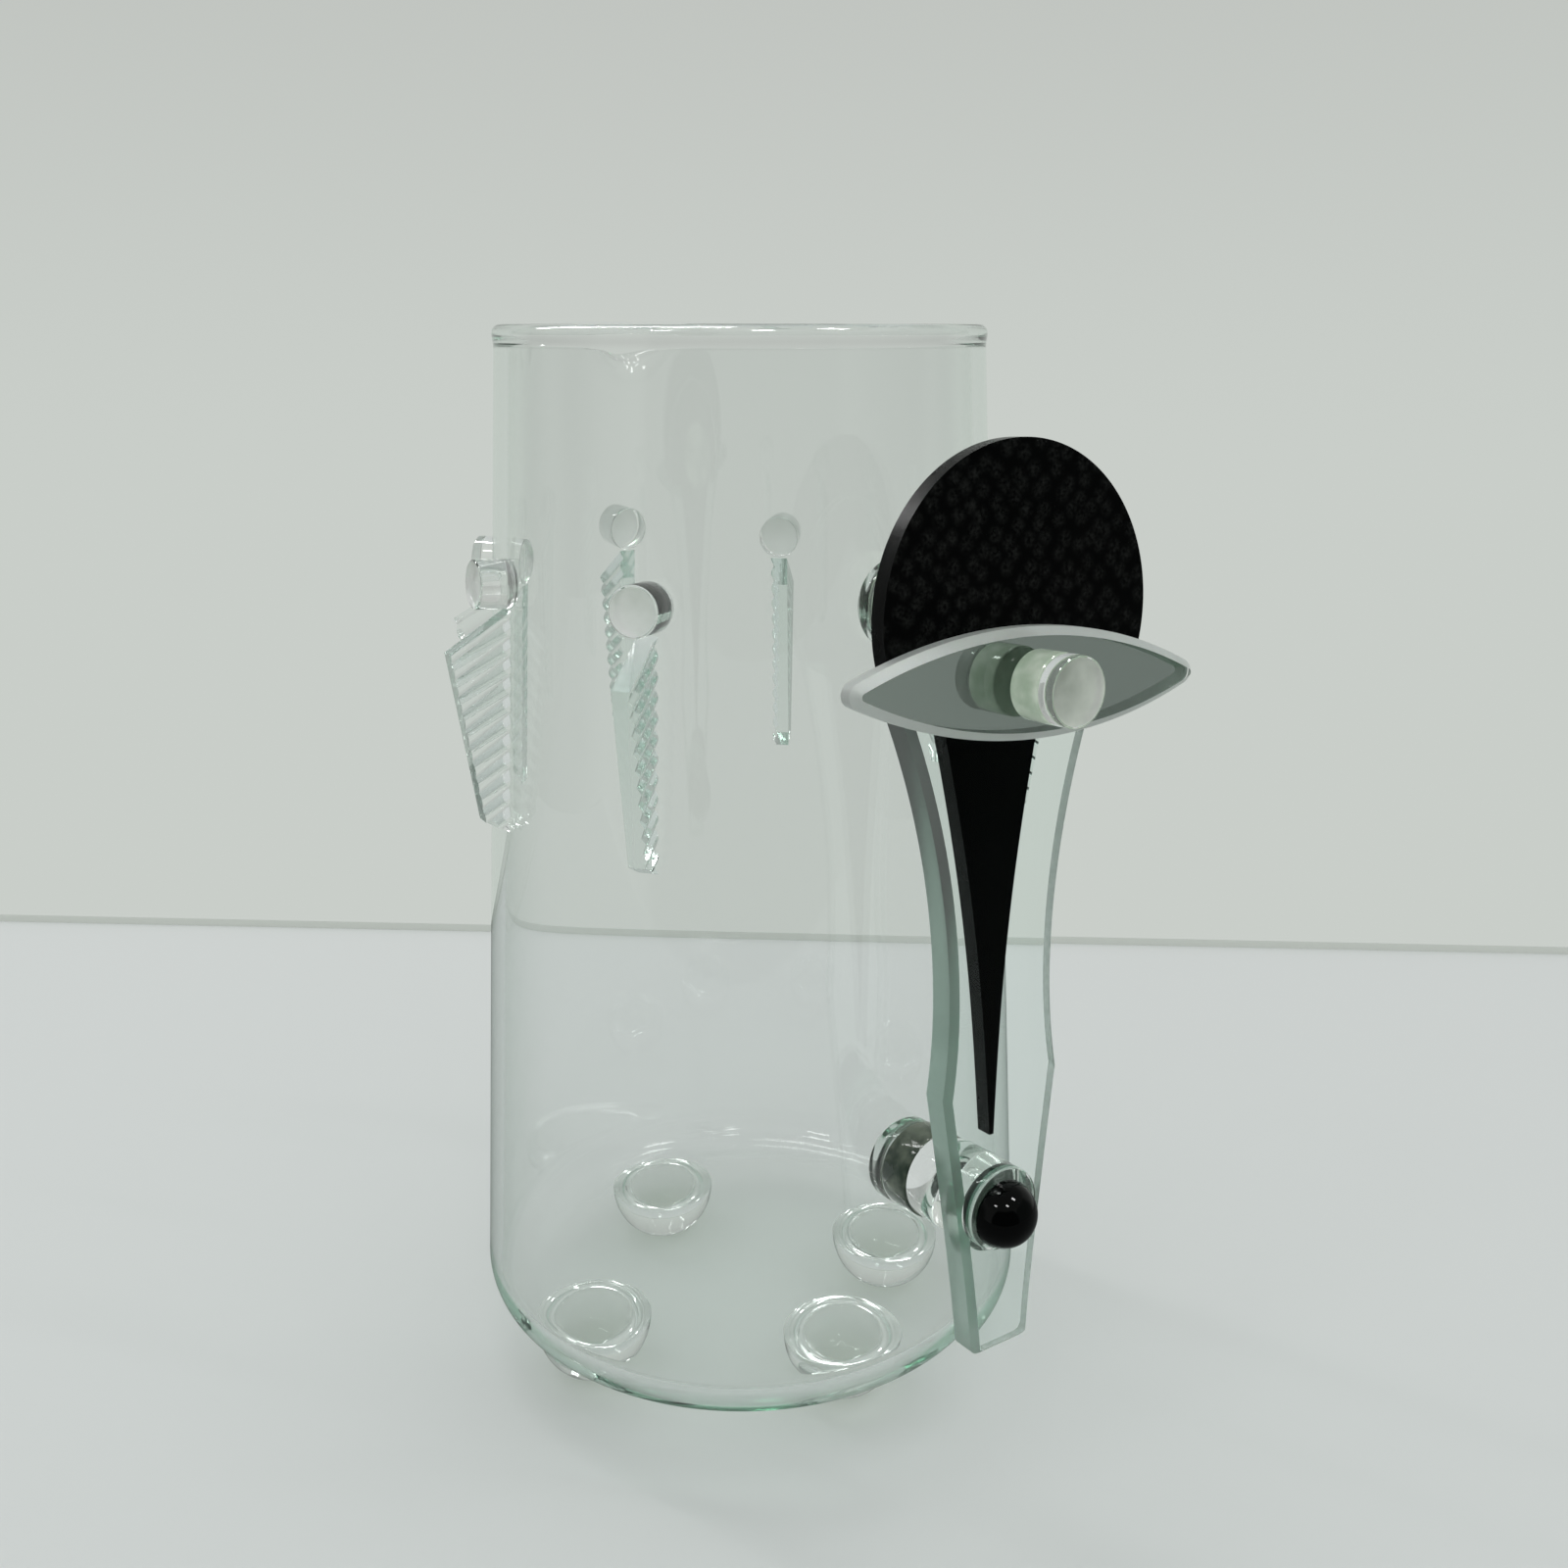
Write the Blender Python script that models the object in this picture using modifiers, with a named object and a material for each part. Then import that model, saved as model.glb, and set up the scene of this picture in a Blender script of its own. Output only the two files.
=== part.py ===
# Art glass pitcher: a clear tapered vessel on four half-marble feet, with a pouring lip,
# seven reeded fins round its shoulder and a handle built up from rods and flat cut glass.
# Metres, +Z up. The vessel stands on the Z axis with the inside of its floor at Z = 0.
# The handle is on the +X side, the lip on the -X side. Heights are measured from the underside of
# the floor, on the fins and the handle up the leaning wall from where it would meet that level.

import math

import bmesh
import bpy
from mathutils import Matrix, Vector

MM = 0.001

# Clearances
GLUE_GAP = 0.3 * MM
CUT_OVERRUN = 2.0 * MM
WELD_DISTANCE = 0.01 * MM

# Vessel
VESSEL_HEIGHT = 224.6 * MM
VESSEL_BASE_RADIUS = 63.0 * MM
VESSEL_RIM_RADIUS = 50.7 * MM
VESSEL_WALL = 3.0 * MM
VESSEL_FLOOR = 4.0 * MM
HEEL_RADIUS = 12.0 * MM
RIM_BEAD_RADIUS = 1.5 * MM
VESSEL_SIDES = 90
HEEL_STEPS = 7
BEAD_STEPS = 8

# Pouring lip
LIP_WIDTH = 30.0 * MM
LIP_REACH = 5.5 * MM
LIP_DIP = 6.9 * MM
LIP_DEPTH = 14.0 * MM
LIP_ROWS = 6
LIP_TURN_SHARE = 0.6

# Feet, glued on by eye: a bearing in degrees from the handle and a share of the inset for each
FOOT_NAMES = ("foot_handle", "foot_right", "foot_lip", "foot_left")
FOOT_ANGLES = (4.3, 76.0, 179.7, -92.5)
FOOT_INSET = 23.5 * MM
FOOT_INSET_SHARES = (1.15, 1.09, 0.84, 0.91)
FOOT_RADIUS = 13.4 * MM
FOOT_FLAT_RADIUS = 3.0 * MM
FOOT_SIDES = 28
FOOT_STEPS = 6

# Fins round the shoulder, glued on by eye: a bearing in degrees from the handle, a share of the
# highest fin's lift and a share of the blade's length for each
FIN_ANGLES = (-51.8, -94.3, -136.0, 180.3, 137.2, 90.0, 45.0)
FIN_LIFT_SHARES = (0.06, 0.25, 0.0, 1.0, 0.0, 0.0, 0.0)
BLADE_LENGTH_SHARES = (1.0, 1.0, 1.0, 1.0, 1.06, 1.0, 1.0)
FIN_STUD_DROP = 50.6 * MM
FIN_LIFT = 3.2 * MM
FIN_STUD_RADIUS = 5.0 * MM
FIN_STUD_LENGTH = 7.0 * MM
FIN_STUD_SIDES = 32
BLADE_THICKNESS = 4.2 * MM
BLADE_LENGTH = 46.2 * MM
BLADE_REACH = 12.6 * MM
BLADE_SHOULDER_DROP = 8.5 * MM
BLADE_TIP_WIDTH = 5.2 * MM
BLADE_TIP_RISE = 2.4 * MM
RIB_PITCH = 3.9 * MM
RIB_DEPTH = 0.9 * MM
RIB_STEPS = 4
SPARE_RIBS = 2

# Handle, measured out from the wall along the handle's own axis, which tilts a little to the right.
# Each piece of its two rod stacks was glued a little lower than the one in front of it
HANDLE_TILT_ANGLE = -0.3
HANDLE_PLATE_DISTANCE = 25.2 * MM
UPPER_ROD_DROP = 49.6 * MM
LOWER_ROD_HEIGHT = 59.5 * MM
LOWER_ROD_OFFSET = 0.5 * MM
UPPER_ROD_RADIUS = 9.0 * MM
LOWER_ROD_RADIUS = 8.9 * MM
COLLAR_THICKNESS = 3.7 * MM
UPPER_SPACER_THICKNESS = 6.5 * MM
LOWER_SPACER_THICKNESS = 7.2 * MM
COLLAR_DROP = 1.3 * MM
SPACER_DROP = 0.8 * MM
ROD_DROP = 0.3 * MM
ROD_SIDES = 48
ROD_CHAMFER = 0.4 * MM
CONE_SIDES = 192

# Handle plate, a waisted strip of clear float glass, placed from the two rods
PLATE_THICKNESS = 6.0 * MM
PLATE_CROWN_RISE = 18.0 * MM
PLATE_SHOULDER_DROP = 12.0 * MM
PLATE_SHOULDER_HALF = 24.5 * MM
PLATE_WAIST_RISE = 45.5 * MM
PLATE_WAIST_HALF = 12.3 * MM
PLATE_KINK_RISE = 26.5 * MM
PLATE_KINK_HALF = 14.0 * MM
PLATE_BOTTOM_DROP = 28.9 * MM
PLATE_BOTTOM_HALF = 7.2 * MM
PLATE_CORNER = 2.0 * MM
PLATE_BEVEL = 1.3 * MM
PLATE_STEPS = 14
PLATE_CORNER_STEPS = 3
TAPER_POWER = 1.15

# Spike, a black wedge on the back of the plate between the two rods
SPIKE_THICKNESS = 3.0 * MM
SPIKE_TOP_DROP = 13.0 * MM
SPIKE_TOP_HALF = 12.7 * MM
SPIKE_OFFSET = 0.5 * MM
SPIKE_TIP_RISE = 15.4 * MM
SPIKE_TIP_HALF = 0.5 * MM
SPIKE_HOLLOW = 2.2 * MM
SPIKE_STEPS = 10

# Disc, black textured glass on the front of the plate, centred on the upper rod
DISC_THICKNESS = 3.0 * MM
DISC_RADIUS = 29.9 * MM
DISC_TUCK = 4.7 * MM
DISC_STEPS = 56

# Eye, a pointed oval of mirror across the disc
EYE_THICKNESS = 3.8 * MM
EYE_LENGTH = 79.3 * MM
EYE_WIDTH = 19.8 * MM
EYE_TIP_RADIUS = 2.2 * MM
EYE_DROP = 11.8 * MM
EYE_OFFSET = 0.6 * MM
EYE_TILT_ANGLE = -3.5
EYE_BEVEL = 1.5 * MM
EYE_STEPS = 18
EYE_TIP_STEPS = 5

# Knob on the eye
KNOB_RADIUS = 6.3 * MM
KNOB_BASE_THICKNESS = 6.2 * MM
KNOB_THICKNESS = 3.5 * MM

# Boss and cabochon on the plate's front, glued a little high and to the left of the lower rod
BOSS_RADIUS = 8.2 * MM
BOSS_THICKNESS = 2.5 * MM
BOSS_RISE = 2.9 * MM
BOSS_OFFSET = 2.5 * MM
CABOCHON_RADIUS = 6.6 * MM
CABOCHON_OFFSET = 0.6 * MM
CABOCHON_DROP = 0.4 * MM
CABOCHON_SIDES = 32
CABOCHON_STEPS = 7

BEVEL_ANGLE = math.radians(30)
ARRIS_ANGLE = math.radians(60)
FLAT_ANGLE = math.radians(1)
SMOOTH_ANGLE = math.radians(35)
LIP_FADE_POWER = 1.5
HANDLE_ANGLE = 0.0
LIP_ANGLE = 180.0

# The wall leans in by this angle, and everything glued to it stands square to it
WALL_LEAN = math.atan2(VESSEL_BASE_RADIUS - VESSEL_RIM_RADIUS, VESSEL_HEIGHT)

# Levels that follow from the sizes above
UNDERSIDE_LEVEL = -VESSEL_FLOOR
FIN_STUD_HEIGHT = VESSEL_HEIGHT - FIN_STUD_DROP
UPPER_ROD_HEIGHT = VESSEL_HEIGHT - UPPER_ROD_DROP


def wall_radius(height):
    """Outer radius of the vessel's straight wall at a height."""
    share = height / VESSEL_HEIGHT
    return VESSEL_BASE_RADIUS + (VESSEL_RIM_RADIUS - VESSEL_BASE_RADIUS) * share


def clear_scene():
    for item in list(bpy.data.objects):
        bpy.data.objects.remove(item, do_unlink=True)


def new_collection(name):
    collection = bpy.data.collections.new(name)
    bpy.context.scene.collection.children.link(collection)
    return collection


def glass(name, colour, roughness, transmission, metallic=0.0):
    material = bpy.data.materials.new(name)
    material.use_nodes = True
    shader = material.node_tree.nodes["Principled BSDF"]
    shader.inputs["Base Color"].default_value = (*colour, 1.0)
    shader.inputs["Roughness"].default_value = roughness
    shader.inputs["Transmission Weight"].default_value = transmission
    shader.inputs["Metallic"].default_value = metallic
    material.diffuse_color = (*colour, 1.0)
    return material


def add_object(name, mesh, collection, material=None, parent=None):
    item = bpy.data.objects.new(name, mesh)
    collection.objects.link(item)
    if material is not None and not mesh.materials:
        mesh.materials.append(material)
    if parent is not None:
        item.parent = parent
    return item


def shade(item):
    item.data.shade_smooth()
    item.data.set_sharp_from_angle(angle=SMOOTH_ANGLE)


def settled_mesh(item, name):
    """The mesh that an object's modifiers leave, with its double points welded."""
    graph = bpy.context.evaluated_depsgraph_get()
    mesh = bpy.data.meshes.new_from_object(item.evaluated_get(graph))
    mesh.name = name
    shape = bmesh.new()
    shape.from_mesh(mesh)
    bmesh.ops.remove_doubles(shape, verts=shape.verts, dist=WELD_DISTANCE)
    shape.to_mesh(mesh)
    shape.free()
    return mesh


def turned_mesh(name, profile, sides, collection):
    """A profile of (radius, height) points, turned about Z with a Screw modifier."""
    mesh = bpy.data.meshes.new(name)
    points = [(radius, 0.0, height) for radius, height in profile]
    mesh.from_pydata(points, [(i, i + 1) for i in range(len(points) - 1)], [])
    guide = add_object(name + "_profile", mesh, collection)
    screw = guide.modifiers.new("turn", "SCREW")
    screw.steps = sides
    screw.render_steps = sides
    screw.use_merge_vertices = True
    screw.merge_threshold = WELD_DISTANCE
    settled = settled_mesh(guide, name)
    bpy.data.objects.remove(guide, do_unlink=True)
    return settled


def arc(centre, radius, start, end, steps):
    """Points on an arc, angles in degrees, both ends included."""
    points = []
    for step in range(steps + 1):
        angle = math.radians(start + (end - start) * step / steps)
        points.append((centre[0] + radius * math.cos(angle), centre[1] + radius * math.sin(angle)))
    return points


def flat_mesh(name, outline, thickness, collection):
    """A flat outline in XY, made thick from Z = 0 up to its thickness."""
    curve = bpy.data.curves.new(name + "_outline", "CURVE")
    curve.dimensions = "2D"
    curve.fill_mode = "BOTH"
    curve.extrude = thickness / 2
    spline = curve.splines.new("POLY")
    spline.points.add(len(outline) - 1)
    for point, (x, y) in zip(spline.points, outline):
        point.co = (x, y, 0.0, 1.0)
    spline.use_cyclic_u = True
    guide = add_object(name + "_outline", curve, collection)
    mesh = settled_mesh(guide, name)
    mesh.transform(Matrix.Translation((0.0, 0.0, thickness / 2)))
    bpy.data.objects.remove(guide, do_unlink=True)
    shape = bmesh.new()
    shape.from_mesh(mesh)
    bmesh.ops.dissolve_limit(shape, angle_limit=FLAT_ANGLE, verts=shape.verts,
                             edges=shape.edges)
    bmesh.ops.recalc_face_normals(shape, faces=shape.faces)
    shape.to_mesh(mesh)
    shape.free()
    return mesh


def bevel_front(mesh, level, width):
    """Grind the arris of a flat piece's front face, which lies at Z = level."""
    shape = bmesh.new()
    shape.from_mesh(mesh)
    edges = []
    for edge in shape.edges:
        on_front = all(abs(vertex.co.z - level) < WELD_DISTANCE for vertex in edge.verts)
        if on_front and len(edge.link_faces) == 2 and edge.calc_face_angle() > BEVEL_ANGLE:
            edges.append(edge)
    bmesh.ops.bevel(shape, geom=edges, offset=width, offset_type="OFFSET", segments=1,
                    profile=0.5, affect="EDGES")
    bmesh.ops.recalc_face_normals(shape, faces=shape.faces)
    shape.to_mesh(mesh)
    shape.free()


def rod_mesh(name, radius, length, sides):
    """A round rod on Z from 0 to its length, its two arrises taken off."""
    mesh = bpy.data.meshes.new(name)
    shape = bmesh.new()
    place = Matrix.Translation((0.0, 0.0, length / 2))
    bmesh.ops.create_cone(shape, cap_ends=True, segments=sides, radius1=radius,
                          radius2=radius, depth=length, matrix=place)
    arrises = [edge for edge in shape.edges if edge.calc_face_angle() > ARRIS_ANGLE]
    bmesh.ops.bevel(shape, geom=arrises, offset=ROD_CHAMFER, offset_type="OFFSET", segments=1,
                    profile=0.5, affect="EDGES")
    shape.to_mesh(mesh)
    shape.free()
    return mesh


def dome_profile(radius, flat_radius, steps):
    """Half of a ball that hangs from Z = 0, ended by a small ground flat."""
    lowest = math.degrees(math.acos(flat_radius / radius))
    side = arc((0.0, 0.0), radius, 0.0, -lowest, steps)
    return [(0.0, 0.0)] + side + [(0.0, side[-1][1])]


def boolean(item, cutter, operation):
    cut = item.modifiers.new(operation.lower(), "BOOLEAN")
    cut.operation = operation
    cut.solver = "EXACT"
    cut.object = cutter


def hide_cutter(item):
    item.hide_render = True
    item.display_type = "WIRE"


def wall_frame(name, bearing, collection, tilt=0.0):
    """An empty where the wall meets the underside: X along the wall, Y up it, Z straight out."""
    turn = Matrix.Rotation(math.radians(bearing), 4, "Z")
    out = Vector((math.cos(WALL_LEAN), 0.0, math.sin(WALL_LEAN)))
    along = Vector((0.0, 1.0, 0.0))
    up = out.cross(along)
    basis = Matrix((along, up, out)).transposed().to_4x4()
    frame = bpy.data.objects.new(name, None)
    collection.objects.link(frame)
    foot_of_wall = Matrix.Translation((VESSEL_BASE_RADIUS, 0.0, UNDERSIDE_LEVEL))
    frame.matrix_world = turn @ foot_of_wall @ basis @ Matrix.Rotation(math.radians(tilt), 4, "Z")
    return frame


def vessel_profile():
    """Inside from the middle of the floor up to the rim, then the outside down to the middle."""
    inner_heel = HEEL_RADIUS - VESSEL_WALL
    outer_top = wall_radius(VESSEL_HEIGHT - RIM_BEAD_RADIUS)
    bead_middle = outer_top - VESSEL_WALL / 2
    bead = arc((bead_middle, VESSEL_HEIGHT - RIM_BEAD_RADIUS), RIM_BEAD_RADIUS, 180.0, 0.0, BEAD_STEPS)
    lip_bottom = VESSEL_HEIGHT - LIP_DEPTH
    row_heights = []
    for row in range(LIP_ROWS + 1):
        share = row / LIP_ROWS
        row_heights.append(lip_bottom + (LIP_DEPTH - 2 * RIM_BEAD_RADIUS) * share)
    lean = math.degrees(WALL_LEAN)
    outer_centre = (wall_radius(HEEL_RADIUS) - HEEL_RADIUS, HEEL_RADIUS)
    inner_centre = (outer_centre[0], VESSEL_FLOOR + inner_heel)
    inner = [(0.0, VESSEL_FLOOR)]
    inner += arc(inner_centre, inner_heel, -90.0, 0.0, HEEL_STEPS)
    inner += [(wall_radius(height) - VESSEL_WALL, height) for height in row_heights]
    outer = [(wall_radius(height), height) for height in reversed(row_heights)]
    outer += arc(outer_centre, HEEL_RADIUS, lean, -90.0, HEEL_STEPS)
    outer += [(0.0, 0.0)]
    return inner + bead + outer


def pull_lip(mesh):
    """Draw the rim out and down on the lip's bearing, fading to nothing down the wall."""
    outward = Vector((math.cos(math.radians(LIP_ANGLE)), math.sin(math.radians(LIP_ANGLE)), 0.0))
    across = Vector((-outward.y, outward.x, 0.0))
    for vertex in mesh.vertices:
        depth_share = (VESSEL_HEIGHT - vertex.co.z) / LIP_DEPTH
        if depth_share >= 1.0 or vertex.co.dot(outward) < 0.0:
            continue
        half = LIP_WIDTH / 2 * (1.0 - LIP_TURN_SHARE * depth_share)
        side = abs(vertex.co.dot(across)) / half
        if side >= 1.0:
            continue
        bell = math.cos(side * math.pi / 2) ** 2
        fade = (1.0 - depth_share) ** LIP_FADE_POWER
        vertex.co += outward * (LIP_REACH * bell * fade)
        vertex.co.z -= LIP_DIP * bell * (1.0 - depth_share)


def make_vessel(parts, material):
    mesh = turned_mesh("vessel", vessel_profile(), VESSEL_SIDES, parts)
    pull_lip(mesh)
    vessel = add_object("vessel", mesh, parts, material)
    vessel.location = (0.0, 0.0, UNDERSIDE_LEVEL)
    shade(vessel)


def make_feet(parts, material):
    profile = dome_profile(FOOT_RADIUS, FOOT_FLAT_RADIUS, FOOT_STEPS)
    mesh = turned_mesh("foot", profile, FOOT_SIDES, parts)
    for name, bearing, inset_share in zip(FOOT_NAMES, FOOT_ANGLES, FOOT_INSET_SHARES):
        foot = add_object(name, mesh, parts, material)
        circle = VESSEL_BASE_RADIUS - FOOT_INSET * inset_share
        angle = math.radians(bearing)
        foot.location = (circle * math.cos(angle), circle * math.sin(angle),
                         UNDERSIDE_LEVEL - GLUE_GAP)
        shade(foot)


def blade_top():
    """Height of the lowest fin's inner top corner, just under its stud."""
    return FIN_STUD_HEIGHT - FIN_STUD_RADIUS - GLUE_GAP


def blade_outline(length):
    """The fin's kite, in its own plane: X straight out of the wall, Y up the wall."""
    bottom = blade_top() - length
    return [
        (GLUE_GAP, blade_top()),
        (GLUE_GAP, bottom),
        (BLADE_TIP_WIDTH, bottom + BLADE_TIP_RISE),
        (BLADE_REACH, blade_top() - BLADE_SHOULDER_DROP),
    ]


def reeded_profile(rib_width, ribs):
    """Edge of the reeded sheet: X across the ribs, Y through its thickness."""
    valley = BLADE_THICKNESS - RIB_DEPTH
    points = []
    for rib in range(ribs):
        for step in range(RIB_STEPS):
            across = step / RIB_STEPS
            points.append((rib_width * (rib + across), valley + RIB_DEPTH * math.sin(across * math.pi)))
    far_side = rib_width * ribs
    return points + [(far_side, valley), (far_side, 0.0), (0.0, 0.0)]


def make_blade_mesh(length, parts, cutters):
    """A kite sawn from reeded sheet, its ribs parallel to the fin's sloping top edge."""
    kite = flat_mesh("fin_blade", blade_outline(length), BLADE_THICKNESS, cutters)
    stand = Matrix.Rotation(math.radians(-90), 4, "Y")
    kite.transform(Matrix.Translation((BLADE_THICKNESS / 2, 0.0, 0.0)) @ stand)
    blade = add_object("fin_blade", kite, parts)

    slope = math.atan2(BLADE_SHOULDER_DROP, BLADE_REACH - GLUE_GAP)
    rib_width = RIB_PITCH * math.cos(slope)
    ribs = math.ceil(length / RIB_PITCH) + SPARE_RIBS
    sheet_run = 2 * (length + BLADE_REACH)
    sheet = flat_mesh("reeded_sheet", reeded_profile(rib_width, ribs), sheet_run, cutters)
    along_rib = Vector((0.0, -math.sin(slope), math.cos(slope)))
    through = Vector((1.0, 0.0, 0.0))
    across = through.cross(along_rib)
    start = Vector((-BLADE_THICKNESS / 2, blade_top(), GLUE_GAP))
    start -= across * (rib_width / 2) + along_rib * (sheet_run / 2)
    basis = Matrix((across, through, along_rib)).transposed().to_4x4()
    sheet.transform(Matrix.Translation(start) @ basis)
    cutter = add_object("reeded_sheet", sheet, cutters)
    boolean(blade, cutter, "INTERSECT")
    mesh = settled_mesh(blade, "fin_blade")
    for item in (blade, cutter):
        bpy.data.objects.remove(item, do_unlink=True)
    return mesh


def make_fins(parts, cutters, clear, reeded):
    stud_mesh = rod_mesh("fin_stud", FIN_STUD_RADIUS, FIN_STUD_LENGTH, FIN_STUD_SIDES)
    fins = zip(FIN_ANGLES, FIN_LIFT_SHARES, BLADE_LENGTH_SHARES)
    for number, (bearing, lift_share, length_share) in enumerate(fins, start=1):
        frame = wall_frame(f"fin_frame_{number}", bearing, parts)
        lift = FIN_LIFT * lift_share
        stud = add_object(f"fin_stud_{number}", stud_mesh, parts, clear, frame)
        stud.location = (0.0, FIN_STUD_HEIGHT + lift, GLUE_GAP)
        shade(stud)
        blade_mesh = make_blade_mesh(BLADE_LENGTH * length_share, parts, cutters)
        blade = add_object(f"fin_blade_{number}", blade_mesh, parts, reeded, frame)
        blade.location = (0.0, lift, 0.0)
        shade(blade)


def make_wall_cutter(cutters):
    """The vessel's wall as a solid cone, larger all round by the glue gap."""
    mesh = bpy.data.meshes.new("wall_cone")
    shape = bmesh.new()
    gap = GLUE_GAP / math.cos(WALL_LEAN)
    place = Matrix.Translation((0.0, 0.0, VESSEL_HEIGHT / 2))
    bmesh.ops.create_cone(shape, cap_ends=True, segments=CONE_SIDES,
                          radius1=VESSEL_BASE_RADIUS + gap, radius2=VESSEL_RIM_RADIUS + gap,
                          depth=VESSEL_HEIGHT, matrix=place)
    shape.to_mesh(mesh)
    shape.free()
    cutter = add_object("wall_cone", mesh, cutters)
    cutter.location = (0.0, 0.0, UNDERSIDE_LEVEL)
    hide_cutter(cutter)
    return cutter


def make_rod_stack(prefix, side, height, radius, spacer_thickness, frame, parts, cutter, looks):
    """Collar, green spacer and long rod between the wall and the back of the plate."""
    collar_mesh = rod_mesh(prefix + "_collar", radius, COLLAR_THICKNESS + CUT_OVERRUN, ROD_SIDES)
    collar = add_object(prefix + "_collar", collar_mesh, parts, looks["clear"], frame)
    collar.location = (side, height - COLLAR_DROP, -CUT_OVERRUN)
    boolean(collar, cutter, "DIFFERENCE")
    shade(collar)
    spacer_start = COLLAR_THICKNESS + GLUE_GAP
    spacer_mesh = rod_mesh(prefix + "_spacer", radius, spacer_thickness, ROD_SIDES)
    spacer = add_object(prefix + "_spacer", spacer_mesh, parts, looks["green"], frame)
    spacer.location = (side, height - SPACER_DROP, spacer_start)
    shade(spacer)
    rod_start = spacer_start + spacer_thickness + GLUE_GAP
    rod_length = HANDLE_PLATE_DISTANCE - GLUE_GAP - rod_start
    mesh = rod_mesh(prefix + "_rod", radius, rod_length, ROD_SIDES)
    rod = add_object(prefix + "_rod", mesh, parts, looks["clear"], frame)
    rod.location = (side, height - ROD_DROP, rod_start)
    shade(rod)


def plate_half_outline():
    """Right-hand edge of the handle plate, from its bottom corner up to its top."""
    bottom = LOWER_ROD_HEIGHT - PLATE_BOTTOM_DROP
    kink = LOWER_ROD_HEIGHT + PLATE_KINK_RISE
    waist = LOWER_ROD_HEIGHT + PLATE_WAIST_RISE
    shoulder = UPPER_ROD_HEIGHT - PLATE_SHOULDER_DROP
    crown = UPPER_ROD_HEIGHT + PLATE_CROWN_RISE
    corner_centre = (PLATE_BOTTOM_HALF - PLATE_CORNER, bottom + PLATE_CORNER)
    points = arc(corner_centre, PLATE_CORNER, -90.0, 0.0, PLATE_CORNER_STEPS)
    few_steps = PLATE_STEPS // 2
    for step in range(1, few_steps + 1):
        share = step / few_steps
        swell = (PLATE_KINK_HALF - PLATE_BOTTOM_HALF) * share ** TAPER_POWER
        start = bottom + PLATE_CORNER
        points.append((PLATE_BOTTOM_HALF + swell, start + (kink - start) * share))
    for step in range(1, few_steps):
        share = step / few_steps
        swell = (PLATE_KINK_HALF - PLATE_WAIST_HALF) * (1.0 - share) ** 2
        points.append((PLATE_WAIST_HALF + swell, kink + (waist - kink) * share))
    for step in range(PLATE_STEPS + 1):
        share = step / PLATE_STEPS
        swell = (PLATE_SHOULDER_HALF - PLATE_WAIST_HALF) * share ** 2
        points.append((PLATE_WAIST_HALF + swell, waist + (shoulder - waist) * share))
    for step in range(1, PLATE_STEPS):
        angle = math.pi / 2 * step / PLATE_STEPS
        points.append((PLATE_SHOULDER_HALF * math.cos(angle),
                       shoulder + (crown - shoulder) * math.sin(angle)))
    return points


def mirrored(half):
    """Close a right-hand edge with its mirror image across X = 0."""
    return half + [(-x, y) for x, y in reversed(half)]


def spike_outline():
    """A long wedge with slightly hollow sides, its point just above the lower rod."""
    tip = LOWER_ROD_HEIGHT + SPIKE_TIP_RISE
    top = UPPER_ROD_HEIGHT - SPIKE_TOP_DROP
    half = []
    for step in range(SPIKE_STEPS + 1):
        share = step / SPIKE_STEPS
        straight = SPIKE_TIP_HALF + (SPIKE_TOP_HALF - SPIKE_TIP_HALF) * share
        hollow = SPIKE_HOLLOW * math.sin(share * math.pi)
        half.append((straight - hollow, tip + (top - tip) * share))
    return mirrored(half)


def disc_outline():
    """A circle on the upper rod's axis, its lower part sawn off where the eye hides it."""
    corner = math.degrees(math.asin((EYE_DROP + DISC_TUCK) / DISC_RADIUS))
    return arc((0.0, UPPER_ROD_HEIGHT), DISC_RADIUS, -corner, 180.0 + corner, DISC_STEPS)


def eye_outline():
    """Two long arcs that run tangent into a small round tip at each end."""
    half = EYE_WIDTH / 2
    tip_centre = EYE_LENGTH / 2 - EYE_TIP_RADIUS
    arc_radius = (tip_centre ** 2 + half ** 2 - EYE_TIP_RADIUS ** 2) / (2 * (half - EYE_TIP_RADIUS))
    centre_drop = arc_radius - half
    swing = math.degrees(math.atan2(tip_centre, centre_drop))
    upper = arc((0.0, -centre_drop), arc_radius, 90.0 - swing, 90.0 + swing, EYE_STEPS)
    left = arc((-tip_centre, 0.0), EYE_TIP_RADIUS, 90.0 + swing, 270.0 - swing, EYE_TIP_STEPS)
    lower = [(-x, -y) for x, y in upper]
    right = [(-x, -y) for x, y in left]
    return upper + left[1:-1] + lower + right[1:-1]


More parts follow.
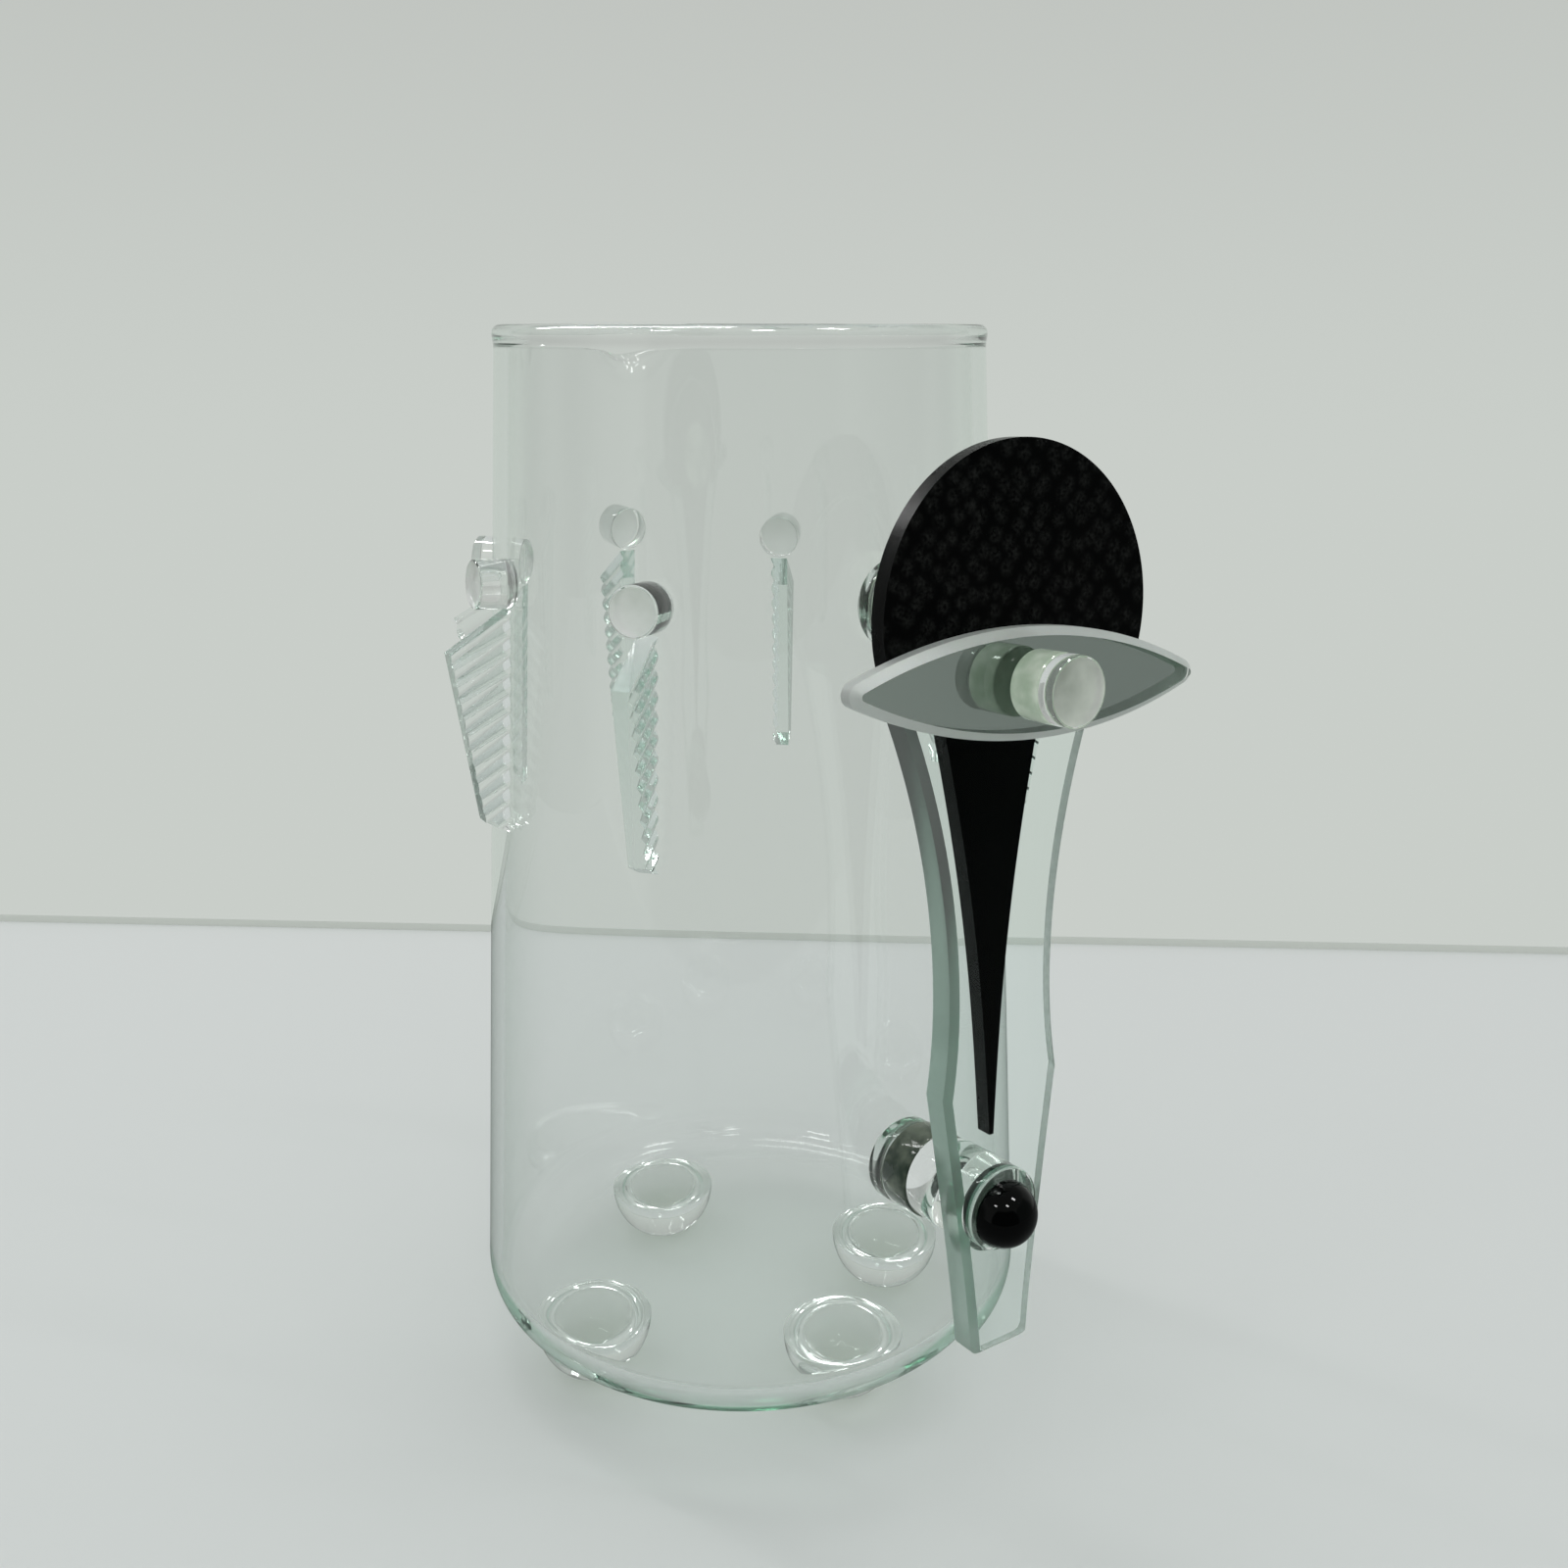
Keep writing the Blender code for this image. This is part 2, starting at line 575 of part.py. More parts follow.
def make_handle(parts, cutters, looks):
    frame = wall_frame("handle_frame", HANDLE_ANGLE, parts, HANDLE_TILT_ANGLE)
    wall_cutter = make_wall_cutter(cutters)
    make_rod_stack("upper", 0.0, UPPER_ROD_HEIGHT, UPPER_ROD_RADIUS,
                   UPPER_SPACER_THICKNESS, frame, parts, wall_cutter, looks)
    make_rod_stack("lower", LOWER_ROD_OFFSET, LOWER_ROD_HEIGHT, LOWER_ROD_RADIUS,
                   LOWER_SPACER_THICKNESS, frame, parts, wall_cutter, looks)

    plate_front = HANDLE_PLATE_DISTANCE + PLATE_THICKNESS
    plate_mesh = flat_mesh("handle_plate", mirrored(plate_half_outline()), PLATE_THICKNESS, cutters)
    bevel_front(plate_mesh, PLATE_THICKNESS, PLATE_BEVEL)
    plate = add_object("handle_plate", plate_mesh, parts, looks["float"], frame)
    plate.location = (0.0, 0.0, HANDLE_PLATE_DISTANCE)

    spike_mesh = flat_mesh("handle_spike", spike_outline(), SPIKE_THICKNESS, cutters)
    spike = add_object("handle_spike", spike_mesh, parts, looks["black"], frame)
    spike.location = (-SPIKE_OFFSET, 0.0, HANDLE_PLATE_DISTANCE - GLUE_GAP - SPIKE_THICKNESS)

    disc_back = plate_front + GLUE_GAP
    disc_mesh = flat_mesh("handle_disc", disc_outline(), DISC_THICKNESS, cutters)
    disc = add_object("handle_disc", disc_mesh, parts, looks["textured_black"], frame)
    disc.location = (0.0, 0.0, disc_back)

    eye_height = UPPER_ROD_HEIGHT - EYE_DROP
    eye_back = disc_back + DISC_THICKNESS + GLUE_GAP
    eye_mesh = flat_mesh("eye_mirror", eye_outline(), EYE_THICKNESS, cutters)
    bevel_front(eye_mesh, EYE_THICKNESS, EYE_BEVEL)
    eye = add_object("eye_mirror", eye_mesh, parts, looks["mirror"], frame)
    eye.location = (EYE_OFFSET, eye_height, eye_back)
    eye.rotation_euler = (0.0, 0.0, math.radians(EYE_TILT_ANGLE))

    knob_back = eye_back + EYE_THICKNESS + GLUE_GAP
    knob_base_mesh = rod_mesh("eye_knob_base", KNOB_RADIUS, KNOB_BASE_THICKNESS, ROD_SIDES)
    knob_base = add_object("eye_knob_base", knob_base_mesh, parts, looks["pale_green"], frame)
    knob_base.location = (0.0, eye_height, knob_back)
    knob_mesh = rod_mesh("eye_knob", KNOB_RADIUS, KNOB_THICKNESS, ROD_SIDES)
    knob = add_object("eye_knob", knob_mesh, parts, looks["clear"], frame)
    knob.location = (0.0, eye_height, knob_back + KNOB_BASE_THICKNESS + GLUE_GAP)

    boss_back = plate_front + GLUE_GAP
    boss_height = LOWER_ROD_HEIGHT + BOSS_RISE
    boss_mesh = rod_mesh("lower_boss", BOSS_RADIUS, BOSS_THICKNESS, ROD_SIDES)
    boss = add_object("lower_boss", boss_mesh, parts, looks["clear"], frame)
    boss.location = (-BOSS_OFFSET, boss_height, boss_back)
    cabochon_mesh = turned_mesh("lower_cabochon", dome_profile(CABOCHON_RADIUS, 0.0, CABOCHON_STEPS),
                                CABOCHON_SIDES, cutters)
    cabochon = add_object("lower_cabochon", cabochon_mesh, parts, looks["black"], frame)
    cabochon.location = (-BOSS_OFFSET - CABOCHON_OFFSET, boss_height - CABOCHON_DROP,
                         boss_back + BOSS_THICKNESS + GLUE_GAP)
    cabochon.rotation_euler = (math.pi, 0.0, 0.0)
    for item in (plate, spike, disc, eye, knob_base, knob, boss, cabochon):
        shade(item)


def main():
    clear_scene()
    parts = new_collection("art_glass_pitcher")
    cutters = new_collection("cutters")
    looks = {
        "clear": glass("clear_glass", (0.95, 0.97, 0.96), 0.02, 1.0),
        "foot": glass("marble_glass", (0.93, 0.96, 0.95), 0.03, 1.0),
        "vessel": glass("vessel_glass", (0.96, 0.98, 0.97), 0.01, 1.0),
        "reeded": glass("reeded_glass", (0.85, 0.91, 0.89), 0.12, 0.9),
        "float": glass("float_glass", (0.78, 0.88, 0.85), 0.04, 0.95),
        "green": glass("dark_green_glass", (0.22, 0.32, 0.26), 0.06, 0.6),
        "pale_green": glass("pale_green_glass", (0.72, 0.84, 0.76), 0.08, 0.8),
        "mirror": glass("mirror_glass", (0.42, 0.46, 0.48), 0.05, 0.0, 1.0),
        "black": glass("black_glass", (0.006, 0.007, 0.007), 0.08, 0.0),
        "textured_black": glass("textured_black_glass", (0.01, 0.011, 0.012), 0.35, 0.0),
    }
    make_vessel(parts, looks["vessel"])
    make_feet(parts, looks["foot"])
    make_fins(parts, cutters, looks["clear"], looks["reeded"])
    make_handle(parts, cutters, looks)


main()
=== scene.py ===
# The looks of a glued-up art glass pitcher: clear vessel, half-marble feet, reeded fins and a handle
# of rods, float glass, black glass and mirror. Metres, +Z up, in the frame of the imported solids.
# Glued faces run a hair into each other, so that light passes them as it passes clear glue. A film of
# air stays behind the clear rods and the knob, which keeps the spacer's colour out of them.

import math

import bmesh
import bpy
from mathutils import Matrix, Vector


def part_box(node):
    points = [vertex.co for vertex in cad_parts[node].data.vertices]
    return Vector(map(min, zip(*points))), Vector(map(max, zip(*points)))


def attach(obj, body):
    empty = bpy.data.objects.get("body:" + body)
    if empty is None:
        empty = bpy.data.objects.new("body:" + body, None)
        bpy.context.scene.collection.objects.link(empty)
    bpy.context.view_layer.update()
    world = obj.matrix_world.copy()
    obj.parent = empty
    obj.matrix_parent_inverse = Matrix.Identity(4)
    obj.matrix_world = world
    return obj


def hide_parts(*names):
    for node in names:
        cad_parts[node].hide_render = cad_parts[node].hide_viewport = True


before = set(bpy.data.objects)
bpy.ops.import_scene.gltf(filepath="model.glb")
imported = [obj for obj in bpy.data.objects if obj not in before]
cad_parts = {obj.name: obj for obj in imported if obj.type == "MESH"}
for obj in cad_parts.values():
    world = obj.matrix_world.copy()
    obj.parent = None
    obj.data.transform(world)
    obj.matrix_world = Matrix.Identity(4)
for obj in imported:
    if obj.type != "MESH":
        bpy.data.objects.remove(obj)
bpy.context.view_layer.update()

MM = 0.001

# Joints
GLUE_GAP = 0.3 * MM
GLUE_OVERLAP = 0.01 * MM
WALL_SEAT = 0.9 * MM
WELD_DISTANCE = 0.002 * MM

# Vessel
VESSEL_HEIGHT = 224.6 * MM
VESSEL_BASE_RADIUS = 63.0 * MM
VESSEL_RIM_RADIUS = 50.7 * MM
VESSEL_WALL = 3.0 * MM
VESSEL_FLOOR = 4.0 * MM
HEEL_RADIUS = 12.0 * MM
RIM_SWELL = 0.35 * MM
RIM_SWELL_DEPTH = 4.2 * MM
VESSEL_SIDES = 288
HEEL_STEPS = 24
BEAD_STEPS = 20
WALL_ROWS = 24
WALL_START_SHARE = 1.3
LIP_TOP_SHARE = 1.1

# Pouring lip
LIP_WIDTH = 30.0 * MM
LIP_REACH = 5.5 * MM
LIP_DIP = 6.9 * MM
LIP_DEPTH = 14.0 * MM
LIP_ROWS = 24
LIP_TURN_SHARE = 0.6
LIP_FADE_POWER = 1.5
LIP_BELL_POWER = 1.4

# Feet
FOOT_NAMES = ("foot_handle", "foot_right", "foot_lip", "foot_left")
FOOT_ANGLES = (4.3, 76.0, 179.7, -92.5)
FOOT_INSET = 23.5 * MM
FOOT_INSET_SHARES = (1.15, 1.09, 0.84, 0.91)
FOOT_RADIUS = 13.4 * MM
FOOT_FLAT_RADIUS = 3.0 * MM
FOOT_SIDES = 96
FOOT_STEPS = 32

# Fins
FIN_ANGLES = (-51.8, -94.3, -136.0, 180.3, 137.2, 90.0, 45.0)
FIN_LIFT_SHARES = (0.06, 0.25, 0.0, 1.0, 0.0, 0.0, 0.0)
BLADE_LENGTH_SHARES = (1.0, 1.0, 1.0, 1.0, 1.06, 1.0, 1.0)
FIN_STUD_DROP = 50.6 * MM
FIN_LIFT = 3.2 * MM
FIN_STUD_RADIUS = 5.0 * MM
FIN_STUD_LENGTH = 7.0 * MM
BLADE_THICKNESS = 4.2 * MM
BLADE_LENGTH = 46.2 * MM
BLADE_REACH = 12.6 * MM
BLADE_SHOULDER_DROP = 8.5 * MM
BLADE_TIP_WIDTH = 5.2 * MM
BLADE_TIP_RISE = 2.4 * MM
BLADE_GAP = 0.15 * MM
RIB_PITCH = 3.9 * MM
RIB_DEPTH = 0.9 * MM
RIB_STEPS = 14
SPARE_RIBS = 2

# Handle
HANDLE_TILT_ANGLE = -0.3
HANDLE_PLATE_DISTANCE = 25.2 * MM
UPPER_ROD_DROP = 49.6 * MM
LOWER_ROD_HEIGHT = 59.5 * MM
LOWER_ROD_OFFSET = 0.5 * MM
UPPER_ROD_RADIUS = 9.0 * MM
LOWER_ROD_RADIUS = 8.9 * MM
COLLAR_THICKNESS = 3.7 * MM
UPPER_SPACER_THICKNESS = 6.5 * MM
LOWER_SPACER_THICKNESS = 7.2 * MM
COLLAR_DROP = 1.3 * MM
SPACER_DROP = 0.8 * MM
ROD_DROP = 0.3 * MM
ROD_SIDES = 128
ROD_CHAMFER = 0.4 * MM
CHAMFER_STEPS = 3

# Handle plate
PLATE_THICKNESS = 6.0 * MM
PLATE_CROWN_RISE = 18.0 * MM
PLATE_SHOULDER_DROP = 12.0 * MM
PLATE_SHOULDER_HALF = 24.5 * MM
PLATE_WAIST_RISE = 45.5 * MM
PLATE_WAIST_HALF = 12.3 * MM
PLATE_KINK_RISE = 26.5 * MM
PLATE_KINK_HALF = 14.0 * MM
PLATE_BOTTOM_DROP = 28.9 * MM
PLATE_BOTTOM_HALF = 7.2 * MM
PLATE_CORNER = 2.0 * MM
PLATE_BEVEL = 1.3 * MM
PLATE_STEPS = 48
PLATE_CORNER_STEPS = 8
TAPER_POWER = 1.15

# Spike
SPIKE_THICKNESS = 3.0 * MM
SPIKE_TOP_DROP = 13.0 * MM
SPIKE_TOP_HALF = 12.7 * MM
SPIKE_OFFSET = 0.5 * MM
SPIKE_TIP_RISE = 15.4 * MM
SPIKE_TIP_HALF = 0.5 * MM
SPIKE_HOLLOW = 2.2 * MM
SPIKE_STEPS = 40

# Disc
DISC_THICKNESS = 3.0 * MM
DISC_RADIUS = 29.9 * MM
DISC_TUCK = 4.7 * MM
DISC_STEPS = 200

# Eye
EYE_THICKNESS = 3.8 * MM
EYE_LENGTH = 79.3 * MM
EYE_WIDTH = 19.8 * MM
EYE_TIP_RADIUS = 2.2 * MM
EYE_DROP = 11.8 * MM
EYE_OFFSET = 0.6 * MM
EYE_TILT_ANGLE = -3.5
EYE_BEVEL = 1.5 * MM
EYE_STEPS = 72
EYE_TIP_STEPS = 12
SILVER_THICKNESS = 0.3 * MM

# Knob, boss and cabochon
KNOB_RADIUS = 6.3 * MM
KNOB_BASE_THICKNESS = 6.2 * MM
KNOB_THICKNESS = 3.5 * MM
BOSS_RADIUS = 8.2 * MM
BOSS_THICKNESS = 2.5 * MM
BOSS_RISE = 2.9 * MM
BOSS_OFFSET = 2.5 * MM
CABOCHON_RADIUS = 6.6 * MM
CABOCHON_OFFSET = 0.6 * MM
CABOCHON_DROP = 0.4 * MM
CABOCHON_SIDES = 128
CABOCHON_STEPS = 48

LIP_ANGLE = 180.0
SMOOTH_ANGLE = math.radians(28)
BEVEL_ANGLE = math.radians(30)
FLAT_SHARE = 0.999
SAWN_SHARE = 0.5
ARRIS_PROFILE = 0.5

WALL_LEAN = math.atan2(VESSEL_BASE_RADIUS - VESSEL_RIM_RADIUS, VESSEL_HEIGHT)
UNDERSIDE_LEVEL = -VESSEL_FLOOR
FIN_STUD_HEIGHT = VESSEL_HEIGHT - FIN_STUD_DROP
UPPER_ROD_HEIGHT = VESSEL_HEIGHT - UPPER_ROD_DROP
TABLE_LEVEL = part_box("foot_handle")[0].z

# Camera, fitted to the photograph
CAMERA_PLACE = (0.2868, -0.1832, 0.2209)
CAMERA_PITCH = 73.6
CAMERA_HEADING = 55.9
CAMERA_LENS = 36.0
CAMERA_CLIP = 0.01

# Room
WALL_DISTANCE = 0.2496
WALL_BEARING = 142.7
TABLE_DEPTH = 0.42
TABLE_WIDTH = 1.3
SEAM_HEIGHT = 0.003
MIRRORED_TABLE_SHARE = 0.3
ROOM_BEARING = 42.0
CARD_BEARING = -32.0
FLAG_BEARING = 55.9
LAMP_HEIGHT = 1.2
LAMP_WIDTH = 0.036
LAMP_RADIANCE = 20.0
PANEL_WIDTH = 0.13
PANEL_GLOW = (54.0, 54.0, 54.0)

# Paints of the table and the room; fades and edges are ranges of a direction's height, or of the cosine
# between it and a bearing
TABLE_PAINT = (0.68, 0.71, 0.70)
JOINT_PAINT = (0.66, 0.69, 0.65)
BOARD_ROUGHNESS = 0.5
WALL_PAINT = (0.585, 0.618, 0.585)
WALL_HIGH_PAINT = (0.51, 0.53, 0.505)
FLAG_PAINT = (0.16, 0.175, 0.165)
CARD_PAINT = (0.03, 0.032, 0.03)
ROOM_PAINT = (0.18, 0.20, 0.19)
FAR_ROOM_PAINT = (0.45, 0.47, 0.45)
CEILING_PAINT = (0.34, 0.355, 0.34)
CEILING_THROUGH_PAINT = (0.62, 0.64, 0.62)
SIDE_PAINT = (0.46, 0.48, 0.46)
SIDE_FLAG_PAINT = (0.34, 0.36, 0.345)
FILL_PAINT = (0.79, 0.795, 0.79)
WALL_FADE = (-0.1, 0.35)
ROOM_EDGE = (0.70, 0.80)
CARD_EDGE = (0.68, 0.76)
WALL_EDGE = (0.15, 0.45)
WALL_THROUGH_EDGE = (0.0, 0.45)
FLAG_EDGE = (0.86, 0.98)
CEILING_EDGE = (0.5, 0.62)

# Ceiling lamps: name, place and length in shares of the lamps' height, turn in degrees, share of light
LAMPS = (
    ("ceiling_tube", (-0.75, -0.29), 1.5, 22.0, 0.5),
    ("ceiling_lamp_left", (0.21, -0.92), 0.21, 20.0, 1.0),
    ("ceiling_lamp_front", (0.74, -0.26), 0.21, 20.0, 1.0),
    ("ceiling_lamp_right", (0.47, 0.36), 0.25, 40.0, 1.0),
)


# Materials: noise scales are in cycles a metre, grain depths in metres

GLASS_IOR = 1.5
GLASS_BOUNCES = 32
FULL_SHADE_SPREAD = (0.58, 0.97)
GRAZING_SHADE_SPREAD = (0.4, 0.95)
SMUDGE_SPREAD = (0.35, 0.75)
SMUDGE_DETAIL = 4.0
FINGER_SMUDGE_SCALE = 60.0
FINE_SMUDGE_SCALE = 80.0
SILVER_SMUDGE_SCALE = 40.0
WAVE_SCALE = 45.0
WAVE_DETAIL = 2.0
WAVE_DEPTH = 0.2 * MM
GRIND_SMUDGE_SCALE = 900.0
GRIND_SPREAD = 0.1
GRIND_SCALE = 2600.0
GRIND_DETAIL = 3.0
GRIND_STRENGTH = 0.25
GRIND_DEPTH = 0.05 * MM
STREAK_SHARE = 1.2
STREAK_DETAIL = 3.0
STREAK_SPREAD = (-0.55, 0.45)
CLOUD_SCALE = 160.0
CLOUD_DETAIL = 3.0
CLOUD_STRENGTH = 0.03
CLOUD_DEPTH = 0.1 * MM
CLOUD_SPREAD = (0.38, 0.66)
BLACK_DETAIL = 3.0
BLACK_DEPTH = 0.1 * MM
BLACK_ROUGHNESS_SHARES = (0.7, 1.4)
BLOOM_SPACING = 3.4 * MM
BLOOM_TURN = 45
BLOOM_SCATTER = 0.55
BLOOM_SPREAD = (0.62, 0.08)
SPECKLE_SHARE = 5.0
SPECKLE_DETAIL = 4.0
SPECKLE_SPREAD = (0.35, 0.7)


def new_material(name):
    material = bpy.data.materials.new(name)
    material.use_nodes = True
    tree = material.node_tree
    return material, tree, tree.nodes["Principled BSDF"]


def mix_colours(tree, factor, first, second):
    """A colour between two colours or sockets, by a factor's socket."""
    node = tree.nodes.new("ShaderNodeMix")
    node.data_type = "RGBA"
    for socket, value in (("A", first), ("B", second)):
        target = [item for item in node.inputs if item.name == socket and item.type == "RGBA"][0]
        if isinstance(value, tuple):
            target.default_value = (*value, 1.0)
        else:
            tree.links.new(value, target)
    share = [item for item in node.inputs if item.name == "Factor" and item.type == "VALUE"][0]
    tree.links.new(factor, share)
    return [item for item in node.outputs if item.type == "RGBA"][0]


def spread_out(tree, value, start, target=(0.0, 1.0), smooth=False):
    """A value carried from one range to another, and held at its ends."""
    node = tree.nodes.new("ShaderNodeMapRange")
    if smooth:
        node.interpolation_type = "SMOOTHSTEP"
    node.inputs["From Min"].default_value = start[0]
    node.inputs["From Max"].default_value = start[1]
    node.inputs["To Min"].default_value = target[0]
    node.inputs["To Max"].default_value = target[1]
    tree.links.new(value, node.inputs["Value"])
    return node.outputs["Result"]


def combine(tree, operation, *values):
    """Arithmetic on sockets or plain numbers."""
    node = tree.nodes.new("ShaderNodeMath")
    node.operation = operation
    for socket, value in zip(node.inputs, values):
        if isinstance(value, float):
            socket.default_value = value
        else:
            tree.links.new(value, socket)
    return node.outputs["Value"]


def measure_along(tree, place, direction):
    """How far a place's socket reaches along a direction."""
    node = tree.nodes.new("ShaderNodeVectorMath")
    node.operation = "DOT_PRODUCT"
    node.inputs[1].default_value = direction
    tree.links.new(place, node.inputs[0])
    return node.outputs["Value"]


def object_place(tree):
    return tree.nodes.new("ShaderNodeTexCoord").outputs["Object"]


def noise_factor(tree, scale, detail):
    """Noise in the object's own space."""
    noise = tree.nodes.new("ShaderNodeTexNoise")
    noise.inputs["Scale"].default_value = scale
    noise.inputs["Detail"].default_value = detail
    tree.links.new(object_place(tree), noise.inputs["Vector"])
    return noise.outputs["Fac"]


def facing_factor(tree, spread):
    """0 where the surface is met squarely, 1 where it is grazed."""
    layer = tree.nodes.new("ShaderNodeLayerWeight")
    return spread_out(tree, layer.outputs["Facing"], spread, smooth=True)


def raise_grain(tree, shader, noise, strength, depth):
    """Uneven surface from a noise."""
    bump = tree.nodes.new("ShaderNodeBump")
    bump.inputs["Strength"].default_value = strength
    bump.inputs["Distance"].default_value = depth
    tree.links.new(noise, bump.inputs["Height"])
    tree.links.new(bump.outputs["Normal"], shader.inputs["Normal"])


def smudge(tree, shader, scale, low, high):
    """Roughness that wanders between two values, as handled glass does."""
    noise = noise_factor(tree, scale, SMUDGE_DETAIL)
    roughness = spread_out(tree, noise, SMUDGE_SPREAD, (low, high))
    tree.links.new(roughness, shader.inputs["Roughness"])


def absorb(tree, colour, density):
    """Colour that deepens with the length of glass that light passes."""
    volume = tree.nodes.new("ShaderNodeVolumeAbsorption")
    volume.inputs["Color"].default_value = (*colour, 1.0)
    volume.inputs["Density"].default_value = density
    tree.links.new(volume.outputs["Volume"], tree.nodes["Material Output"].inputs["Volume"])


def let_lamps_through(tree, shader, tint, rim_tint, spread=FULL_SHADE_SPREAD):
    """Light passes straight on, clear where it meets the glass squarely and dimmed where it grazes it."""
    rays = tree.nodes.new("ShaderNodeLightPath")
    lighting = combine(tree, "MAXIMUM", rays.outputs["Is Shadow Ray"], rays.outputs["Is Diffuse Ray"])
    passing = tree.nodes.new("ShaderNodeBsdfTransparent")
    kept = mix_colours(tree, facing_factor(tree, spread), tint, rim_tint)
    tree.links.new(kept, passing.inputs["Color"])
    mix = tree.nodes.new("ShaderNodeMixShader")
    tree.links.new(lighting, mix.inputs[0])
    tree.links.new(shader.outputs["BSDF"], mix.inputs[1])
    tree.links.new(passing.outputs["BSDF"], mix.inputs[2])
    tree.links.new(mix.outputs["Shader"], tree.nodes["Material Output"].inputs["Surface"])


def clear_glass(name, absorption, density, shade, roughness=(0.0, 0.01), wave=0.0, tint=1.0,
                body=1.0, grazing_shade=None):
    """Polished glass. The flank colour, where given, is painted shade: the base colour darkens to it
    where the surface is seen at a grazing angle, as on a rib's or a heel's side.
    """
    material, tree, shader = new_material(name)
    square_on = (body, body, body)
    shader.inputs["Base Color"].default_value = (*square_on, 1.0)
    shader.inputs["Transmission Weight"].default_value = 1.0
    shader.inputs["IOR"].default_value = GLASS_IOR
    shader.inputs["Specular Tint"].default_value = (tint, tint, tint, 1.0)
    smudge(tree, shader, FINGER_SMUDGE_SCALE, *roughness)
    # Painted shade where the surface is seen at a grazing angle
    if grazing_shade:
        painted_grazing_shade = mix_colours(tree, facing_factor(tree, GRAZING_SHADE_SPREAD), square_on, grazing_shade)
        tree.links.new(painted_grazing_shade, shader.inputs["Base Color"])
    if wave:
        raise_grain(tree, shader, noise_factor(tree, WAVE_SCALE, WAVE_DETAIL), wave, WAVE_DEPTH)
    absorb(tree, absorption, density)
    let_lamps_through(tree, shader, *shade)
    return material


def ground_glass(name, absorption, density, tint, shade, roughness=0.45, transmission=0.85):
    """Sawn and ground surface: fine-grained, pale, and letting light through."""
    material, tree, shader = new_material(name)
    shader.inputs["Base Color"].default_value = (*tint, 1.0)
    shader.inputs["Transmission Weight"].default_value = transmission
    shader.inputs["IOR"].default_value = GLASS_IOR
    smudge(tree, shader, GRIND_SMUDGE_SCALE, roughness - GRIND_SPREAD, roughness + GRIND_SPREAD)
    raise_grain(tree, shader, noise_factor(tree, GRIND_SCALE, GRIND_DETAIL), GRIND_STRENGTH, GRIND_DEPTH)
    if density:
        absorb(tree, absorption, density)
    let_lamps_through(tree, shader, *shade)
    return material


def paint_lit_side(material, reach, direction, shaded_colour, lit_colour):
    """A sawn end of satin glass with painted light: paler towards one side, where the light that the rod
    gathers falls on it, with faint streaks.
    """
    tree = material.node_tree
    across = measure_along(tree, object_place(tree), (*direction, 0.0))
    slope = spread_out(tree, across, (-reach, reach), STREAK_SPREAD)
    streaks = noise_factor(tree, STREAK_SHARE / reach, STREAK_DETAIL)
    # Painted light: the end's colour runs from shaded to lit across it
    colour = mix_colours(tree, combine(tree, "ADD", slope, streaks), shaded_colour, lit_colour)
    tree.links.new(colour, tree.nodes["Principled BSDF"].inputs["Base Color"])
    return material


def cloudy_glass(name, low, high, transmission, roughness, shade):
    """Slab-cast coloured glass, mottled with denser and thinner clouds."""
    material, tree, shader = new_material(name)
    shader.inputs["Transmission Weight"].default_value = transmission
    shader.inputs["IOR"].default_value = GLASS_IOR
    noise = noise_factor(tree, CLOUD_SCALE, CLOUD_DETAIL)
    raise_grain(tree, shader, noise, CLOUD_STRENGTH, CLOUD_DEPTH)
    clouds = mix_colours(tree, spread_out(tree, noise, CLOUD_SPREAD, smooth=True), low, high)
    tree.links.new(clouds, shader.inputs["Base Color"])
    smudge(tree, shader, FINE_SMUDGE_SCALE, *roughness)
    let_lamps_through(tree, shader, *shade)
    return material


def black_glass(name, roughness, grain_scale, grain_strength, shine):
    material, tree, shader = new_material(name)
    shader.inputs["Base Color"].default_value = (*BLACK, 1.0)
    shader.inputs["Specular IOR Level"].default_value = shine
    low_share, high_share = BLACK_ROUGHNESS_SHARES
    smudge(tree, shader, FINE_SMUDGE_SCALE, roughness * low_share, roughness * high_share)
    raise_grain(tree, shader, noise_factor(tree, grain_scale, BLACK_DETAIL), grain_strength, BLACK_DEPTH)
    return material


def add_blooms(material, pale, spacing):
    """Faint paler blooms in a loose diamond lattice, broken up by fine speckle."""
    tree = material.node_tree
    turn = tree.nodes.new("ShaderNodeMapping")
    turn.inputs["Rotation"].default_value = (0.0, 0.0, math.radians(BLOOM_TURN))
    tree.links.new(object_place(tree), turn.inputs["Vector"])
    lattice = tree.nodes.new("ShaderNodeTexVoronoi")
    lattice.voronoi_dimensions = "2D"
    lattice.inputs["Scale"].default_value = 1.0 / spacing
    lattice.inputs["Randomness"].default_value = BLOOM_SCATTER
    tree.links.new(turn.outputs["Vector"], lattice.inputs["Vector"])
    blooms = spread_out(tree, lattice.outputs["Distance"], BLOOM_SPREAD, smooth=True)
    speckle = noise_factor(tree, SPECKLE_SHARE / spacing, SPECKLE_DETAIL)
    broken = combine(tree, "MULTIPLY", blooms, spread_out(tree, speckle, SPECKLE_SPREAD))
    colour = mix_colours(tree, broken, BLACK, pale)
    tree.links.new(colour, tree.nodes["Principled BSDF"].inputs["Base Color"])
    return material


def silver(name, colour, roughness):
    material, tree, shader = new_material(name)
    shader.inputs["Base Color"].default_value = (*colour, 1.0)
    shader.inputs["Metallic"].default_value = 1.0
    smudge(tree, shader, SILVER_SMUDGE_SCALE, *roughness)
    return material


# The colour that a long way through each glass leaves in light
VESSEL_WATER = (0.80, 0.95, 0.88)
MARBLE_WATER = (0.80, 0.94, 0.88)
CLEAR_WATER = (0.80, 0.92, 0.82)
GREEN_WATER = (0.55, 0.86, 0.74)
REEDED_WATER = (0.72, 0.86, 0.80)

# The face of the black glass
BLACK = (0.0008, 0.001, 0.001)

